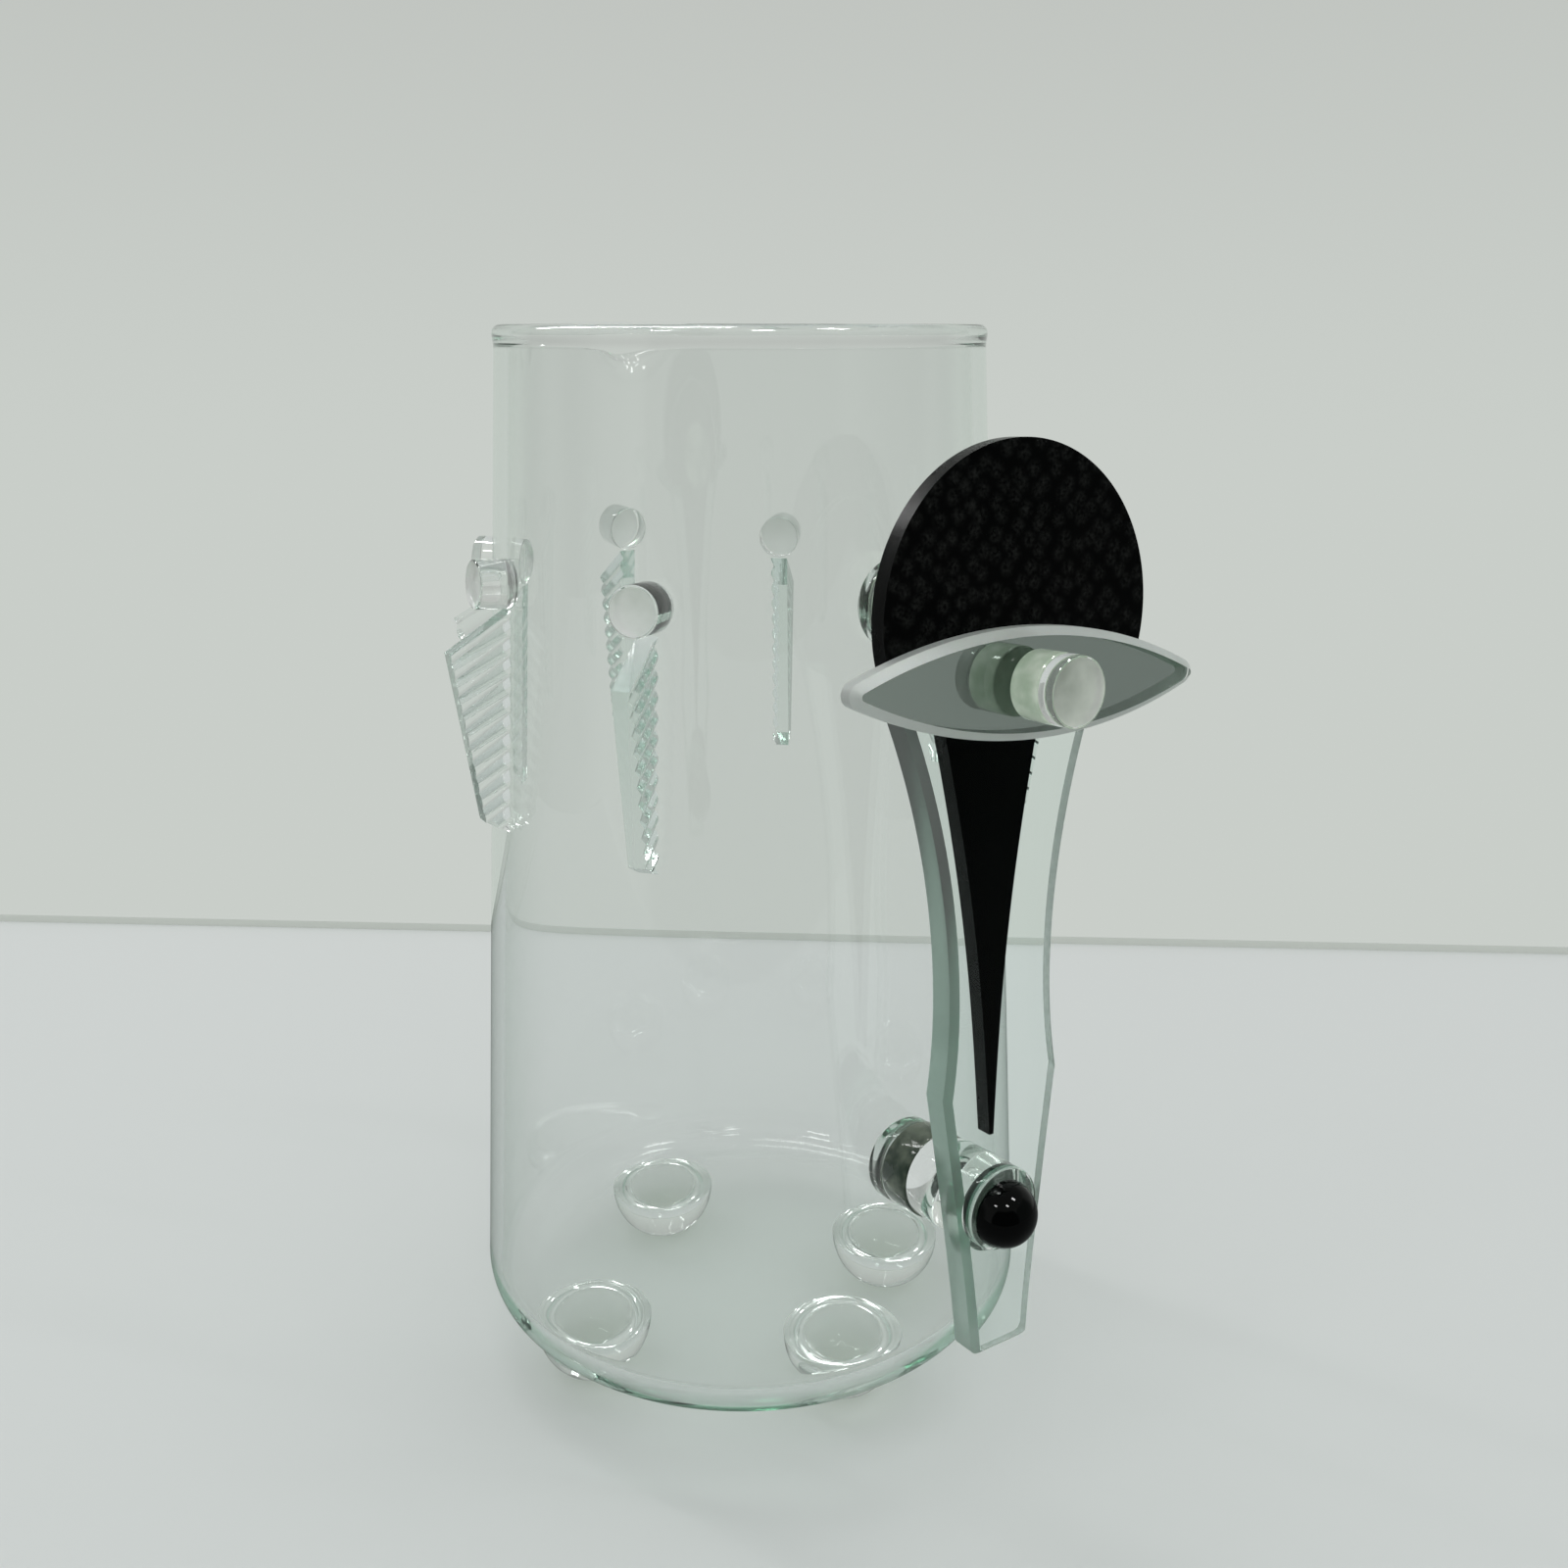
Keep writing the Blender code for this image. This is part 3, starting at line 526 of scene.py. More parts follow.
# Light that passes each glass, met squarely and grazed, and the spread between them if it isn't the
# usual one; a marble gathers light, so that its middle passes more than all of it
CLEAR_SHADE = ((0.985, 0.99, 0.985), (0.42, 0.44, 0.43))
MARBLE_SHADE = ((1.15, 1.16, 1.12), (0.34, 0.35, 0.34), (0.05, 0.55))
TINTED_SHADE = ((0.80, 0.86, 0.83), (0.30, 0.36, 0.33))
DENSE_SHADE = ((0.35, 0.45, 0.38), (0.20, 0.25, 0.21))

# Satin ends, painted lighter towards one side as painted light; the knob's is a darker copy of the studs'
# satin glass, as painted shade
SATIN = ground_glass("satin_glass", CLEAR_WATER, 6.0, (0.90, 0.92, 0.89), CLEAR_SHADE, 0.4, 0.5)
SHADED_SATIN_KNOB = ground_glass("shaded_satin_knob_glass", CLEAR_WATER, 6.0, (0.48, 0.50, 0.46), CLEAR_SHADE, 0.4, 0.5)
TEXTURED_BLACK = black_glass("textured_black_glass", 0.34, 420.0, 0.6, 0.04)
LOOKS = {
    # The vessel is painted darker where its surface is seen at a grazing angle, as painted shade
    "vessel": clear_glass("vessel_glass", VESSEL_WATER, 24.0, CLEAR_SHADE, (0.0, 0.008), 0.02,
                          body=0.975, grazing_shade=(0.80, 0.84, 0.81)),
    "marble": clear_glass("marble_glass", MARBLE_WATER, 6.0, MARBLE_SHADE, (0.0, 0.03), 0.05),
    "clear": clear_glass("clear_glass", CLEAR_WATER, 6.0, CLEAR_SHADE, (0.0, 0.02)),
    "satin": paint_lit_side(SATIN, FIN_STUD_RADIUS, (0.0, -1.0), (0.70, 0.72, 0.69), (1.0, 1.0, 1.0)),
    "shaded_satin_knob": paint_lit_side(SHADED_SATIN_KNOB, KNOB_RADIUS, (0.7, -0.7), (0.40, 0.42, 0.39),
                                 (0.98, 0.99, 0.95)),
    "float": clear_glass("float_glass", GREEN_WATER, 28.0, TINTED_SHADE, (0.0, 0.01), tint=0.0),
    "float_edge": ground_glass("float_glass_edge", GREEN_WATER, 28.0, (0.62, 0.67, 0.64), TINTED_SHADE),
    "eye_edge": ground_glass("mirror_glass_edge", GREEN_WATER, 0.0, (0.72, 0.76, 0.73), TINTED_SHADE,
                             0.4, 0.5),
    # The ribs are painted much darker where seen at a grazing angle, as painted shade
    "reeded": clear_glass("reeded_glass", REEDED_WATER, 45.0, TINTED_SHADE, (0.0, 0.012),
                          grazing_shade=(0.26, 0.33, 0.295)),
    "reeded_edge": ground_glass("reeded_glass_edge", REEDED_WATER, 45.0, (0.36, 0.44, 0.395),
                                TINTED_SHADE, transmission=0.45),
    "dark_green": cloudy_glass("dark_green_glass", (0.020, 0.034, 0.024), (0.125, 0.15, 0.11), 0.1,
                               (0.05, 0.15), DENSE_SHADE),
    # Painted light: the upper spacer's mottle is paler than the lower's, though both spacers are the same
    # dark green glass
    "lit_spacer_green": cloudy_glass("lit_spacer_green_glass", (0.13, 0.18, 0.13), (0.64, 0.72, 0.59), 0.1,
                              (0.05, 0.15), DENSE_SHADE),
    "pale_green": cloudy_glass("pale_green_glass", (0.56, 0.68, 0.54), (0.84, 0.93, 0.81), 0.4,
                               (0.0, 0.04), CLEAR_SHADE),
    "black": black_glass("black_glass", 0.05, 30.0, 0.02, 0.0),
    "black_dome": black_glass("black_dome_glass", 0.01, 30.0, 0.0, 0.13),
    "black_edge": black_glass("black_glass_edge", 0.32, 900.0, 0.3, 0.1),
    "textured_black": add_blooms(TEXTURED_BLACK, (0.012, 0.013, 0.012), BLOOM_SPACING),
    "silver": silver("mirror_silver", (0.43, 0.485, 0.455), (0.0, 0.02)),
}


# Mesh tools

def turned_mesh(name, profile, sides):
    """A profile of (radius, height) points turned about Z; a point at radius 0 is a pole."""
    shape = bmesh.new()
    rings = []
    for radius, height in profile:
        if radius == 0.0:
            rings.append([shape.verts.new((0.0, 0.0, height))])
            continue
        ring = []
        for side in range(sides):
            angle = 2.0 * math.pi * side / sides
            ring.append(shape.verts.new((radius * math.cos(angle), radius * math.sin(angle), height)))
        rings.append(ring)
    for first, second in zip(rings, rings[1:]):
        for side in range(sides):
            after = (side + 1) % sides
            if len(first) == 1:
                corners = (first[0], second[side], second[after])
            elif len(second) == 1:
                corners = (first[side], second[0], first[after])
            else:
                corners = (first[side], second[side], second[after], first[after])
            shape.faces.new(corners)
    return settled(name, shape)


def settled(name, shape):
    """A mesh from a bmesh, faces pointing out, smooth but for its arrises."""
    bmesh.ops.recalc_face_normals(shape, faces=shape.faces)
    mesh = bpy.data.meshes.new(name)
    shape.to_mesh(mesh)
    shape.free()
    mesh.shade_smooth()
    mesh.set_sharp_from_angle(angle=SMOOTH_ANGLE)
    return mesh


def arc(centre, radius, start, end, steps):
    """Points on an arc, angles in degrees, both ends included."""
    points = []
    for step in range(steps + 1):
        angle = math.radians(start + (end - start) * step / steps)
        points.append((centre[0] + radius * math.cos(angle), centre[1] + radius * math.sin(angle)))
    return points


def rod_mesh(name, radius, bottom, top, satin_end=False):
    """A round rod along Z, its arrises rounded off; slot 1 for a sawn end at its top."""
    inner = radius - ROD_CHAMFER
    low = arc((inner, bottom + ROD_CHAMFER), ROD_CHAMFER, -90.0, 0.0, CHAMFER_STEPS)
    high = arc((inner, top - ROD_CHAMFER), ROD_CHAMFER, 0.0, 90.0, CHAMFER_STEPS)
    mesh = turned_mesh(name, [(0.0, bottom)] + low + high + [(0.0, top)], ROD_SIDES)
    for face in mesh.polygons:
        if satin_end and face.normal.z > FLAT_SHARE:
            face.material_index = 1
    return mesh


def flat_shape(outline, bottom, top):
    """A bmesh slab over an outline in XY."""
    shape = bmesh.new()
    face = shape.faces.new([shape.verts.new((x, y, bottom)) for x, y in outline])
    grown = bmesh.ops.extrude_face_region(shape, geom=[face])
    raised = [item for item in grown["geom"] if isinstance(item, bmesh.types.BMVert)]
    bmesh.ops.translate(shape, verts=raised, vec=(0.0, 0.0, top - bottom))
    bmesh.ops.recalc_face_normals(shape, faces=shape.faces)
    return shape


def bevel_front(shape, level, width):
    """Grind a flat bevel round the front arris of a slab."""
    edges = []
    for edge in shape.edges:
        on_front = all(abs(vertex.co.z - level) < WELD_DISTANCE for vertex in edge.verts)
        if on_front and len(edge.link_faces) == 2 and edge.calc_face_angle() > BEVEL_ANGLE:
            edges.append(edge)
    bmesh.ops.bevel(shape, geom=edges, offset=width, offset_type="OFFSET", segments=1,
                    profile=ARRIS_PROFILE, affect="EDGES")


def mark_ground_faces(mesh):
    """Slot 1 for every face that doesn't look straight up or down."""
    for face in mesh.polygons:
        if abs(face.normal.z) < FLAT_SHARE:
            face.material_index = 1


def wall_place(angle, tilt=0.0):
    """Where the wall meets the underside: X along the wall, Y up it, Z straight out of it."""
    out = Vector((math.cos(WALL_LEAN), 0.0, math.sin(WALL_LEAN)))
    along = Vector((0.0, 1.0, 0.0))
    basis = Matrix((along, out.cross(along), out)).transposed().to_4x4()
    start = Matrix.Translation((VESSEL_BASE_RADIUS, 0.0, UNDERSIDE_LEVEL))
    turn = Matrix.Rotation(math.radians(angle), 4, "Z")
    return turn @ start @ basis @ Matrix.Rotation(math.radians(tilt), 4, "Z")


def add_piece(name, mesh, looks, place, node):
    """A piece of the root body that stands for a node; copies may share their mesh."""
    piece = bpy.data.objects.new(name, mesh)
    bpy.context.scene.collection.objects.link(piece)
    if not mesh.materials:
        for look in looks:
            mesh.materials.append(LOOKS[look])
    piece.matrix_world = place
    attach(piece, "root")
    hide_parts(node)


# Vessel and feet

def wall_radius(height):
    share = height / VESSEL_HEIGHT
    return VESSEL_BASE_RADIUS + (VESSEL_RIM_RADIUS - VESSEL_BASE_RADIUS) * share


def rim_swell(height):
    """How far each face stands proud of the plain wall, where the flame drew the rim into a bead."""
    start = VESSEL_HEIGHT - RIM_SWELL_DEPTH
    share = (height - start) / (RIM_SWELL_DEPTH - VESSEL_WALL / 2 - RIM_SWELL)
    share = min(max(share, 0.0), 1.0)
    return RIM_SWELL * share ** 2 * (3.0 - 2.0 * share)


def vessel_profile():
    """Inside from the middle of the floor up to the rim, then the outside down to the middle."""
    inner_heel = HEEL_RADIUS - VESSEL_WALL
    bead_radius = VESSEL_WALL / 2 + RIM_SWELL
    bead_middle = wall_radius(VESSEL_HEIGHT - bead_radius) - VESSEL_WALL / 2
    bead = arc((bead_middle, VESSEL_HEIGHT - bead_radius), bead_radius, 180.0, 0.0, BEAD_STEPS)
    lip_bottom = VESSEL_HEIGHT - LIP_DEPTH
    lip_top = VESSEL_HEIGHT - LIP_TOP_SHARE * bead_radius
    heights = []
    wall_bottom = HEEL_RADIUS * WALL_START_SHARE
    for row in range(WALL_ROWS):
        heights.append(wall_bottom + (lip_bottom - wall_bottom) * row / WALL_ROWS)
    for row in range(LIP_ROWS + 1):
        heights.append(lip_bottom + (lip_top - lip_bottom) * row / LIP_ROWS)
    lean = math.degrees(WALL_LEAN)
    outer_centre = (wall_radius(HEEL_RADIUS) - HEEL_RADIUS, HEEL_RADIUS)
    inner_centre = (outer_centre[0], VESSEL_FLOOR + inner_heel)
    inner = [(0.0, VESSEL_FLOOR)]
    inner += arc(inner_centre, inner_heel, -90.0, 0.0, HEEL_STEPS)
    inner += [(wall_radius(height) - VESSEL_WALL - rim_swell(height), height) for height in heights]
    outer = [(wall_radius(height) + rim_swell(height), height) for height in reversed(heights)]
    outer += arc(outer_centre, HEEL_RADIUS, lean, -90.0, HEEL_STEPS)
    outer += [(0.0, 0.0)]
    return inner + bead + outer


def pull_lip(mesh):
    """Draw the rim out and down on the lip's bearing, fading to nothing down the wall."""
    outward = Vector((math.cos(math.radians(LIP_ANGLE)), math.sin(math.radians(LIP_ANGLE)), 0.0))
    across = Vector((-outward.y, outward.x, 0.0))
    for vertex in mesh.vertices:
        depth_share = (VESSEL_HEIGHT - vertex.co.z) / LIP_DEPTH
        if depth_share >= 1.0 or vertex.co.dot(outward) < 0.0:
            continue
        half = LIP_WIDTH / 2 * (1.0 - LIP_TURN_SHARE * depth_share)
        side = abs(vertex.co.dot(across)) / half
        if side >= 1.0:
            continue
        bell = math.cos(side * math.pi / 2) ** LIP_BELL_POWER
        fade = (1.0 - depth_share) ** LIP_FADE_POWER
        vertex.co += outward * (LIP_REACH * bell * fade)
        vertex.co.z -= LIP_DIP * bell * (1.0 - depth_share)


def make_vessel():
    mesh = turned_mesh("vessel_blown", vessel_profile(), VESSEL_SIDES)
    pull_lip(mesh)
    place = Matrix.Translation((0.0, 0.0, UNDERSIDE_LEVEL))
    add_piece("vessel_blown", mesh, ["vessel"], place, "vessel")


def make_feet():
    centre = -GLUE_GAP
    lowest = math.degrees(math.acos(FOOT_FLAT_RADIUS / FOOT_RADIUS))
    side = arc((0.0, centre), FOOT_RADIUS, 0.0, -lowest, FOOT_STEPS)
    top = GLUE_OVERLAP
    profile = [(0.0, top), (FOOT_RADIUS, top)] + side + [(0.0, side[-1][1])]
    mesh = turned_mesh("foot_marble", profile, FOOT_SIDES)
    for node, bearing, inset_share in zip(FOOT_NAMES, FOOT_ANGLES, FOOT_INSET_SHARES):
        circle = VESSEL_BASE_RADIUS - FOOT_INSET * inset_share
        angle = math.radians(bearing)
        place = Matrix.Translation((circle * math.cos(angle), circle * math.sin(angle), UNDERSIDE_LEVEL))
        add_piece(node + "_marble", mesh, ["marble"], place, node)


# Fins

def blade_outline(length):
    """The fin's kite, in its own plane: X straight out of the wall, Y up the wall."""
    top = FIN_STUD_HEIGHT - FIN_STUD_RADIUS - GLUE_GAP
    bottom = top - length
    return [
        (BLADE_GAP, top),
        (BLADE_GAP, bottom),
        (BLADE_TIP_WIDTH, bottom + BLADE_TIP_RISE),
        (BLADE_REACH, top - BLADE_SHOULDER_DROP),
    ]


def reeded_outline(rib_width, ribs):
    """Edge of the reeded sheet: X across the ribs, Y through its thickness."""
    valley = BLADE_THICKNESS - RIB_DEPTH
    points = []
    for rib in range(ribs):
        for step in range(RIB_STEPS):
            across = step / RIB_STEPS
            points.append((rib_width * (rib + across), valley + RIB_DEPTH * math.sin(across * math.pi)))
    far_side = rib_width * ribs
    return points + [(far_side, valley), (far_side, 0.0), (0.0, 0.0)]


def blade_mesh(length):
    """A kite sawn from reeded sheet, its ribs parallel to the fin's sloping top edge."""
    kite = flat_shape(blade_outline(length), 0.0, BLADE_THICKNESS)
    stand = Matrix.Rotation(math.radians(-90), 4, "Y")
    kite.transform(Matrix.Translation((BLADE_THICKNESS / 2, 0.0, 0.0)) @ stand)
    bmesh.ops.recalc_face_normals(kite, faces=kite.faces)
    kite_mesh = bpy.data.meshes.new("kite")
    kite.to_mesh(kite_mesh)
    kite.free()

    top = FIN_STUD_HEIGHT - FIN_STUD_RADIUS - GLUE_GAP
    slope = math.atan2(BLADE_SHOULDER_DROP, BLADE_REACH - GLUE_GAP)
    rib_width = RIB_PITCH * math.cos(slope)
    ribs = math.ceil(length / RIB_PITCH) + SPARE_RIBS
    run = 2 * (length + BLADE_REACH)
    sheet = flat_shape(reeded_outline(rib_width, ribs), 0.0, run)
    along_rib = Vector((0.0, -math.sin(slope), math.cos(slope)))
    through = Vector((1.0, 0.0, 0.0))
    across = through.cross(along_rib)
    start = Vector((-BLADE_THICKNESS / 2, top, GLUE_GAP))
    start -= across * (rib_width / 2) + along_rib * (run / 2)
    basis = Matrix((across, through, along_rib)).transposed().to_4x4()
    sheet.transform(Matrix.Translation(start) @ basis)
    bmesh.ops.recalc_face_normals(sheet, faces=sheet.faces)
    sheet_mesh = bpy.data.meshes.new("reeded_sheet")
    sheet.to_mesh(sheet_mesh)
    sheet.free()

    kite_piece = bpy.data.objects.new("kite", kite_mesh)
    sheet_piece = bpy.data.objects.new("reeded_sheet", sheet_mesh)
    for item in (kite_piece, sheet_piece):
        bpy.context.scene.collection.objects.link(item)
    cut = kite_piece.modifiers.new("reeds", "BOOLEAN")
    cut.operation = "INTERSECT"
    cut.object = sheet_piece
    graph = bpy.context.evaluated_depsgraph_get()
    mesh = bpy.data.meshes.new_from_object(kite_piece.evaluated_get(graph))
    mesh.name = "fin_blade_reeded"
    for item in (kite_piece, sheet_piece):
        bpy.data.objects.remove(item, do_unlink=True)
    for face in mesh.polygons:
        face.material_index = 1 if abs(face.normal.x) < SAWN_SHARE else 0
    mesh.materials.clear()
    mesh.shade_smooth()
    mesh.set_sharp_from_angle(angle=SMOOTH_ANGLE)
    return mesh


def make_fins():
    stud = rod_mesh("fin_stud_rod", FIN_STUD_RADIUS, -WALL_SEAT, GLUE_GAP + FIN_STUD_LENGTH, True)
    fins = zip(FIN_ANGLES, FIN_LIFT_SHARES, BLADE_LENGTH_SHARES)
    for number, (bearing, lift_share, length_share) in enumerate(fins, start=1):
        place = wall_place(bearing) @ Matrix.Translation((0.0, FIN_LIFT * lift_share, 0.0))
        stud_place = place @ Matrix.Translation((0.0, FIN_STUD_HEIGHT, 0.0))
        add_piece(f"fin_stud_{number}_rod", stud, ["clear", "satin"], stud_place,
                  f"fin_stud_{number}")
        blade = blade_mesh(BLADE_LENGTH * length_share)
        add_piece(f"fin_blade_{number}_reeded", blade, ["reeded", "reeded_edge"], place,
                  f"fin_blade_{number}")


# Handle

def make_rod_stack(prefix, side, height, radius, spacer_thickness, spacer_look, place):
    spacer_top = COLLAR_THICKNESS + GLUE_GAP + spacer_thickness
    levels = {
        "collar": (-WALL_SEAT, COLLAR_THICKNESS, COLLAR_DROP, "clear", "clear_glass"),
        "spacer": (COLLAR_THICKNESS - GLUE_OVERLAP, spacer_top, SPACER_DROP, spacer_look,
                   "dark_green_glass"),
        "rod": (spacer_top + GLUE_GAP, HANDLE_PLATE_DISTANCE + GLUE_OVERLAP, ROD_DROP, "clear",
                "clear_glass"),
    }
    for part, (bottom, top, drop, look, slot) in levels.items():
        node = f"{prefix}_{part}"
        mesh = rod_mesh(node + "_polished", radius, bottom, top)
        lift = place @ Matrix.Translation((side, height - drop, 0.0))
        add_piece(node + "_polished", mesh, [look], lift, node)


def plate_half_outline():
    """Right-hand edge of the handle plate, from its bottom corner up to its top."""
    bottom = LOWER_ROD_HEIGHT - PLATE_BOTTOM_DROP
    kink = LOWER_ROD_HEIGHT + PLATE_KINK_RISE
    waist = LOWER_ROD_HEIGHT + PLATE_WAIST_RISE
    shoulder = UPPER_ROD_HEIGHT - PLATE_SHOULDER_DROP
    crown = UPPER_ROD_HEIGHT + PLATE_CROWN_RISE
    corner_centre = (PLATE_BOTTOM_HALF - PLATE_CORNER, bottom + PLATE_CORNER)
    points = arc(corner_centre, PLATE_CORNER, -90.0, 0.0, PLATE_CORNER_STEPS)
    few_steps = PLATE_STEPS // 2
    for step in range(1, few_steps + 1):
        share = step / few_steps
        swell = (PLATE_KINK_HALF - PLATE_BOTTOM_HALF) * share ** TAPER_POWER
        start = bottom + PLATE_CORNER
        points.append((PLATE_BOTTOM_HALF + swell, start + (kink - start) * share))
    for step in range(1, few_steps):
        share = step / few_steps
        swell = (PLATE_KINK_HALF - PLATE_WAIST_HALF) * (1.0 - share) ** 2
        points.append((PLATE_WAIST_HALF + swell, kink + (waist - kink) * share))
    for step in range(PLATE_STEPS + 1):
        share = step / PLATE_STEPS
        swell = (PLATE_SHOULDER_HALF - PLATE_WAIST_HALF) * share ** 2
        points.append((PLATE_WAIST_HALF + swell, waist + (shoulder - waist) * share))
    for step in range(1, PLATE_STEPS):
        angle = math.pi / 2 * step / PLATE_STEPS
        points.append((PLATE_SHOULDER_HALF * math.cos(angle),
                       shoulder + (crown - shoulder) * math.sin(angle)))
    return points


def mirrored(half):
    return half + [(-x, y) for x, y in reversed(half)]


def spike_outline():
    tip = LOWER_ROD_HEIGHT + SPIKE_TIP_RISE
    top = UPPER_ROD_HEIGHT - SPIKE_TOP_DROP
    half = []
    for step in range(SPIKE_STEPS + 1):
        share = step / SPIKE_STEPS
        straight = SPIKE_TIP_HALF + (SPIKE_TOP_HALF - SPIKE_TIP_HALF) * share
        half.append((straight - SPIKE_HOLLOW * math.sin(share * math.pi), tip + (top - tip) * share))
    return mirrored(half)


def disc_outline():
    corner = math.degrees(math.asin((EYE_DROP + DISC_TUCK) / DISC_RADIUS))
    return arc((0.0, UPPER_ROD_HEIGHT), DISC_RADIUS, -corner, 180.0 + corner, DISC_STEPS)


def eye_outline(inset=0.0):
    """Two long arcs that run tangent into a small round tip at each end."""
    half = EYE_WIDTH / 2
    tip_centre = EYE_LENGTH / 2 - EYE_TIP_RADIUS
    arc_radius = (tip_centre ** 2 + half ** 2 - EYE_TIP_RADIUS ** 2) / (2 * (half - EYE_TIP_RADIUS))
    drop = arc_radius - half
    swing = math.degrees(math.atan2(tip_centre, drop))
    tip = EYE_TIP_RADIUS - inset
    upper = arc((0.0, -drop), arc_radius - inset, 90.0 - swing, 90.0 + swing, EYE_STEPS)
    left = arc((-tip_centre, 0.0), tip, 90.0 + swing, 270.0 - swing, EYE_TIP_STEPS)
    lower = [(-x, -y) for x, y in upper]
    right = [(-x, -y) for x, y in left]
    return upper + left[1:-1] + lower + right[1:-1]


def add_slab(name, outline, bottom, top, bevel, looks, place, node):
    """A flat piece whose faces are polished and whose edges are ground."""
    shape = flat_shape(outline, bottom, top)
    if bevel:
        bevel_front(shape, top, bevel)
    mesh = settled(name, shape)
    mark_ground_faces(mesh)
    add_piece(name, mesh, looks, place, node)


def make_handle():
    place = wall_place(0.0, HANDLE_TILT_ANGLE)
    # The upper spacer takes the paler copy of the spacers' green glass, as painted light
    make_rod_stack("upper", 0.0, UPPER_ROD_HEIGHT, UPPER_ROD_RADIUS, UPPER_SPACER_THICKNESS,
                   "lit_spacer_green", place)
    make_rod_stack("lower", LOWER_ROD_OFFSET, LOWER_ROD_HEIGHT, LOWER_ROD_RADIUS,
                   LOWER_SPACER_THICKNESS, "dark_green", place)

    plate_back = HANDLE_PLATE_DISTANCE
    plate_front = plate_back + PLATE_THICKNESS
    add_slab("handle_plate_ground", mirrored(plate_half_outline()), plate_back, plate_front,
             PLATE_BEVEL, ["float", "float_edge"], place, "handle_plate")
    spike_place = place @ Matrix.Translation((-SPIKE_OFFSET, 0.0, 0.0))
    add_slab("handle_spike_black", spike_outline(), plate_back - GLUE_GAP - SPIKE_THICKNESS,
             plate_back + GLUE_OVERLAP, 0.0, ["black", "black_edge"], spike_place,
             "handle_spike")

    disc_front = plate_front + GLUE_GAP + DISC_THICKNESS
    add_slab("handle_disc_textured", disc_outline(), plate_front - GLUE_OVERLAP, disc_front, 0.0,
             ["textured_black", "black_edge"], place, "handle_disc")

    knob_place = place @ Matrix.Translation((0.0, UPPER_ROD_HEIGHT - EYE_DROP, 0.0))
    eye_shift = Matrix.Translation((EYE_OFFSET, 0.0, 0.0))
    eye_place = knob_place @ eye_shift @ Matrix.Rotation(math.radians(EYE_TILT_ANGLE), 4, "Z")
    eye_front = disc_front + GLUE_GAP + EYE_THICKNESS
    silver_front = disc_front + SILVER_THICKNESS
    add_slab("eye_mirror_glass", eye_outline(), silver_front - GLUE_OVERLAP, eye_front, EYE_BEVEL,
             ["clear", "eye_edge"], eye_place, "eye_mirror")
    add_slab("eye_mirror_silver", eye_outline(GLUE_GAP), disc_front, silver_front, 0.0,
             ["silver", "black_edge"], eye_place, "eye_mirror")

    base_top = eye_front + GLUE_GAP + KNOB_BASE_THICKNESS
    knob_top = base_top + GLUE_GAP + KNOB_THICKNESS
    base = rod_mesh("eye_knob_base_polished", KNOB_RADIUS, eye_front - GLUE_OVERLAP, base_top)
    add_piece("eye_knob_base_polished", base, ["pale_green"], knob_place,
              "eye_knob_base")
    knob = rod_mesh("eye_knob_polished", KNOB_RADIUS, base_top + GLUE_GAP, knob_top, True)
    add_piece("eye_knob_polished", knob, ["clear", "shaded_satin_knob"], knob_place, "eye_knob")

    boss_place = place @ Matrix.Translation((-BOSS_OFFSET, LOWER_ROD_HEIGHT + BOSS_RISE, 0.0))
    boss_top = plate_front + GLUE_GAP + BOSS_THICKNESS
    boss = rod_mesh("lower_boss_polished", BOSS_RADIUS, plate_front - GLUE_OVERLAP, boss_top)
    add_piece("lower_boss_polished", boss, ["clear"], boss_place, "lower_boss")
    dome_centre = boss_top + GLUE_GAP
    dome = arc((0.0, dome_centre), CABOCHON_RADIUS, 0.0, 90.0, CABOCHON_STEPS)
    profile = [(0.0, dome_centre)] + dome[:-1] + [(0.0, dome_centre + CABOCHON_RADIUS)]
    cabochon = turned_mesh("lower_cabochon_domed", profile, CABOCHON_SIDES)
    dome_place = boss_place @ Matrix.Translation((-CABOCHON_OFFSET, -CABOCHON_DROP, 0.0))
    add_piece("lower_cabochon_domed", cabochon, ["black_dome"], dome_place,
              "lower_cabochon")


# Studio

def add_board(name, place, width, depth, colour):
    """A flat painted board of the stage, darker where a polished surface mirrors it."""
    shape = bmesh.new()
    bmesh.ops.create_grid(shape, x_segments=1, y_segments=1, size=0.5)
    mesh = bpy.data.meshes.new(name)
    shape.to_mesh(mesh)
    shape.free()
    board = bpy.data.objects.new(name, mesh)
    bpy.context.scene.collection.objects.link(board)
    board.matrix_world = place @ Matrix.Diagonal((width, depth, 1.0, 1.0))
    material, tree, shader = new_material(name + "_paint")
    shader.inputs["Roughness"].default_value = BOARD_ROUGHNESS
    shader.inputs["Specular IOR Level"].default_value = 0.0
    rays = tree.nodes.new("ShaderNodeLightPath")
    only_mirrored = tree.nodes.new("ShaderNodeMath")
    only_mirrored.operation = "SUBTRACT"
    only_mirrored.use_clamp = True
    tree.links.new(rays.outputs["Is Glossy Ray"], only_mirrored.inputs[0])
    tree.links.new(rays.outputs["Is Transmission Ray"], only_mirrored.inputs[1])
    dimmed = tuple(channel * MIRRORED_TABLE_SHARE for channel in colour)
    paint = mix_colours(tree, only_mirrored.outputs["Value"], colour, dimmed)
    tree.links.new(paint, shader.inputs["Base Color"])
    mesh.materials.append(material)


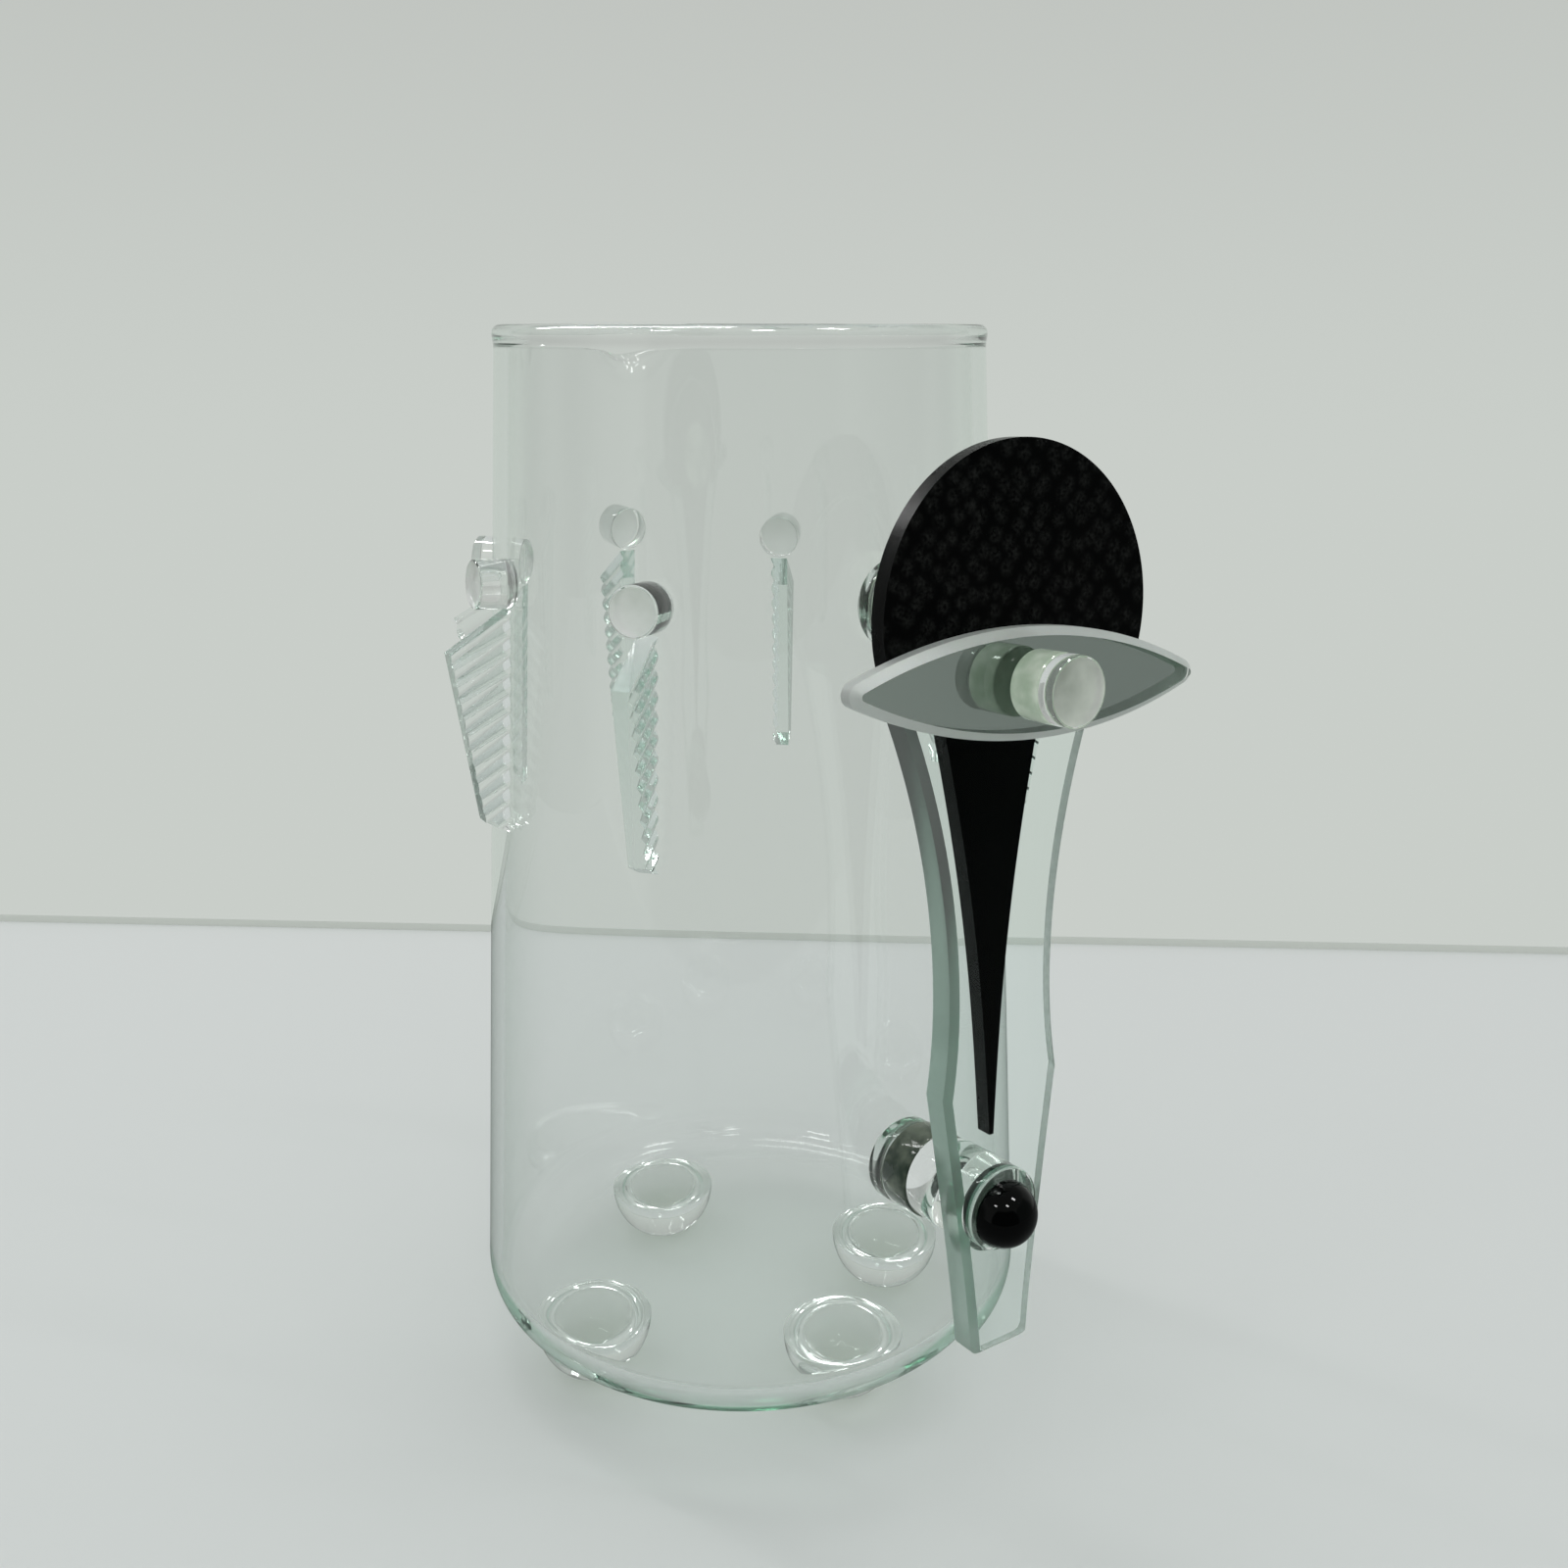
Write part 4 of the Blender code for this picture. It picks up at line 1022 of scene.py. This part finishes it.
def make_table():
    """A pale table top that ends at the wall behind the pitcher, with a dim joint along the wall."""
    turn = Matrix.Rotation(math.radians(WALL_BEARING), 4, "Z")
    whole_depth = WALL_DISTANCE + TABLE_DEPTH
    middle = Matrix.Translation((WALL_DISTANCE - whole_depth / 2, 0.0, TABLE_LEVEL))
    add_board("table", turn @ middle, whole_depth, TABLE_WIDTH, TABLE_PAINT)
    rise = Matrix.Translation((WALL_DISTANCE, 0.0, TABLE_LEVEL + SEAM_HEIGHT / 2))
    stand = Matrix.Rotation(math.radians(-90), 4, "Y")
    add_board("wall_joint", turn @ rise @ stand, SEAM_HEIGHT, TABLE_WIDTH, JOINT_PAINT)


def ramp(tree, value, edges):
    return spread_out(tree, value, edges, smooth=True)


def towards(tree, place, bearing):
    """The cosine of the angle between a direction and a bearing."""
    angle = math.radians(bearing)
    return measure_along(tree, place, (math.cos(angle), math.sin(angle), 0.0))


def within(tree, place, rise, axis, half):
    """1 where a direction, carried up to the ceiling, is less than half off a line there."""
    off = combine(tree, "ABSOLUTE", measure_along(tree, place, axis))
    return combine(tree, "LESS_THAN", off, combine(tree, "MULTIPLY", rise, half))


def panel(tree, place, rise, middle, turn, length):
    """1 inside a lit panel in the ceiling, where the lamp of the same place hangs."""
    angle = math.radians(turn)
    along = Vector((math.cos(angle), math.sin(angle)))
    across = Vector((-along.y, along.x))
    spot = Vector(middle)
    lengthwise = within(tree, place, rise, (*along, -along.dot(spot)), length / 2)
    widthwise = within(tree, place, rise, (*across, -across.dot(spot)), PANEL_WIDTH / 2)
    return combine(tree, "MULTIPLY", lengthwise, widthwise)


def make_world():
    """Pale wall all round for the camera, a room with dark cards for what glass mirrors, and a paler
    one for what is seen through glass."""
    world = bpy.data.worlds.new("studio")
    bpy.context.scene.world = world
    world.use_nodes = True
    tree = world.node_tree
    place = tree.nodes.new("ShaderNodeTexCoord").outputs["Generated"]
    split = tree.nodes.new("ShaderNodeSeparateXYZ")
    tree.links.new(place, split.inputs["Vector"])
    rise = split.outputs["Z"]
    wall_side = towards(tree, place, WALL_BEARING)
    flag_sides = ramp(tree, combine(tree, "ABSOLUTE", towards(tree, place, FLAG_BEARING)), FLAG_EDGE)
    overhead = ramp(tree, rise, CEILING_EDGE)
    lit = 0.0
    for _, middle, length, turn, _ in LAMPS:
        lit = combine(tree, "MAXIMUM", lit, panel(tree, place, rise, middle, turn, length))

    backdrop = mix_colours(tree, ramp(tree, rise, WALL_FADE), WALL_PAINT, WALL_HIGH_PAINT)
    room_side = ramp(tree, towards(tree, place, ROOM_BEARING), ROOM_EDGE)
    card_side = ramp(tree, towards(tree, place, CARD_BEARING), CARD_EDGE)
    around = mix_colours(tree, room_side, FAR_ROOM_PAINT, ROOM_PAINT)
    around = mix_colours(tree, card_side, around, CARD_PAINT)
    around = mix_colours(tree, ramp(tree, wall_side, WALL_EDGE), around, backdrop)
    around = mix_colours(tree, flag_sides, around, FLAG_PAINT)
    around = mix_colours(tree, overhead, around, CEILING_PAINT)
    around = mix_colours(tree, lit, around, PANEL_GLOW)
    through = mix_colours(tree, ramp(tree, wall_side, WALL_THROUGH_EDGE), SIDE_PAINT, backdrop)
    through = mix_colours(tree, flag_sides, through, SIDE_FLAG_PAINT)
    through = mix_colours(tree, overhead, through, CEILING_THROUGH_PAINT)
    through = mix_colours(tree, lit, through, PANEL_GLOW)

    rays = tree.nodes.new("ShaderNodeLightPath")
    seen = mix_colours(tree, rays.outputs["Is Glossy Ray"], FILL_PAINT, around)
    seen = mix_colours(tree, rays.outputs["Is Transmission Ray"], seen, through)
    seen = mix_colours(tree, rays.outputs["Is Camera Ray"], seen, backdrop)
    tree.links.new(seen, tree.nodes["Background"].inputs["Color"])


def make_lamps():
    """One long ceiling tube behind the pitcher and three short ones in front of it; their mirror
    images come from the world's panels."""
    for name, middle, length, turn, light_share in LAMPS:
        lamp = bpy.data.lights.new(name, "AREA")
        lamp.shape = "RECTANGLE"
        lamp.size = length * LAMP_HEIGHT
        lamp.size_y = LAMP_WIDTH
        lamp.energy = LAMP_RADIANCE * light_share * math.pi * lamp.size * lamp.size_y
        item = bpy.data.objects.new(name, lamp)
        bpy.context.scene.collection.objects.link(item)
        item.location = (middle[0] * LAMP_HEIGHT, middle[1] * LAMP_HEIGHT, LAMP_HEIGHT)
        item.rotation_euler = (0.0, 0.0, math.radians(turn))
        item.visible_glossy = False
        item.visible_transmission = False


def make_camera():
    camera = bpy.data.cameras.new("camera")
    camera.lens = CAMERA_LENS
    camera.sensor_width = CAMERA_LENS
    camera.clip_start = CAMERA_CLIP
    item = bpy.data.objects.new("camera", camera)
    bpy.context.scene.collection.objects.link(item)
    item.location = CAMERA_PLACE
    item.rotation_euler = (math.radians(CAMERA_PITCH), 0.0, math.radians(CAMERA_HEADING))
    bpy.context.scene.camera = item


make_vessel()
make_feet()
make_fins()
make_handle()
make_table()
make_world()
make_lamps()
make_camera()
bpy.context.scene.view_settings.view_transform = "Standard"
bpy.context.scene.cycles.max_bounces = GLASS_BOUNCES
bpy.context.scene.cycles.transmission_bounces = GLASS_BOUNCES
bpy.context.scene.cycles.glossy_bounces = GLASS_BOUNCES
bpy.context.scene.cycles.transparent_max_bounces = GLASS_BOUNCES
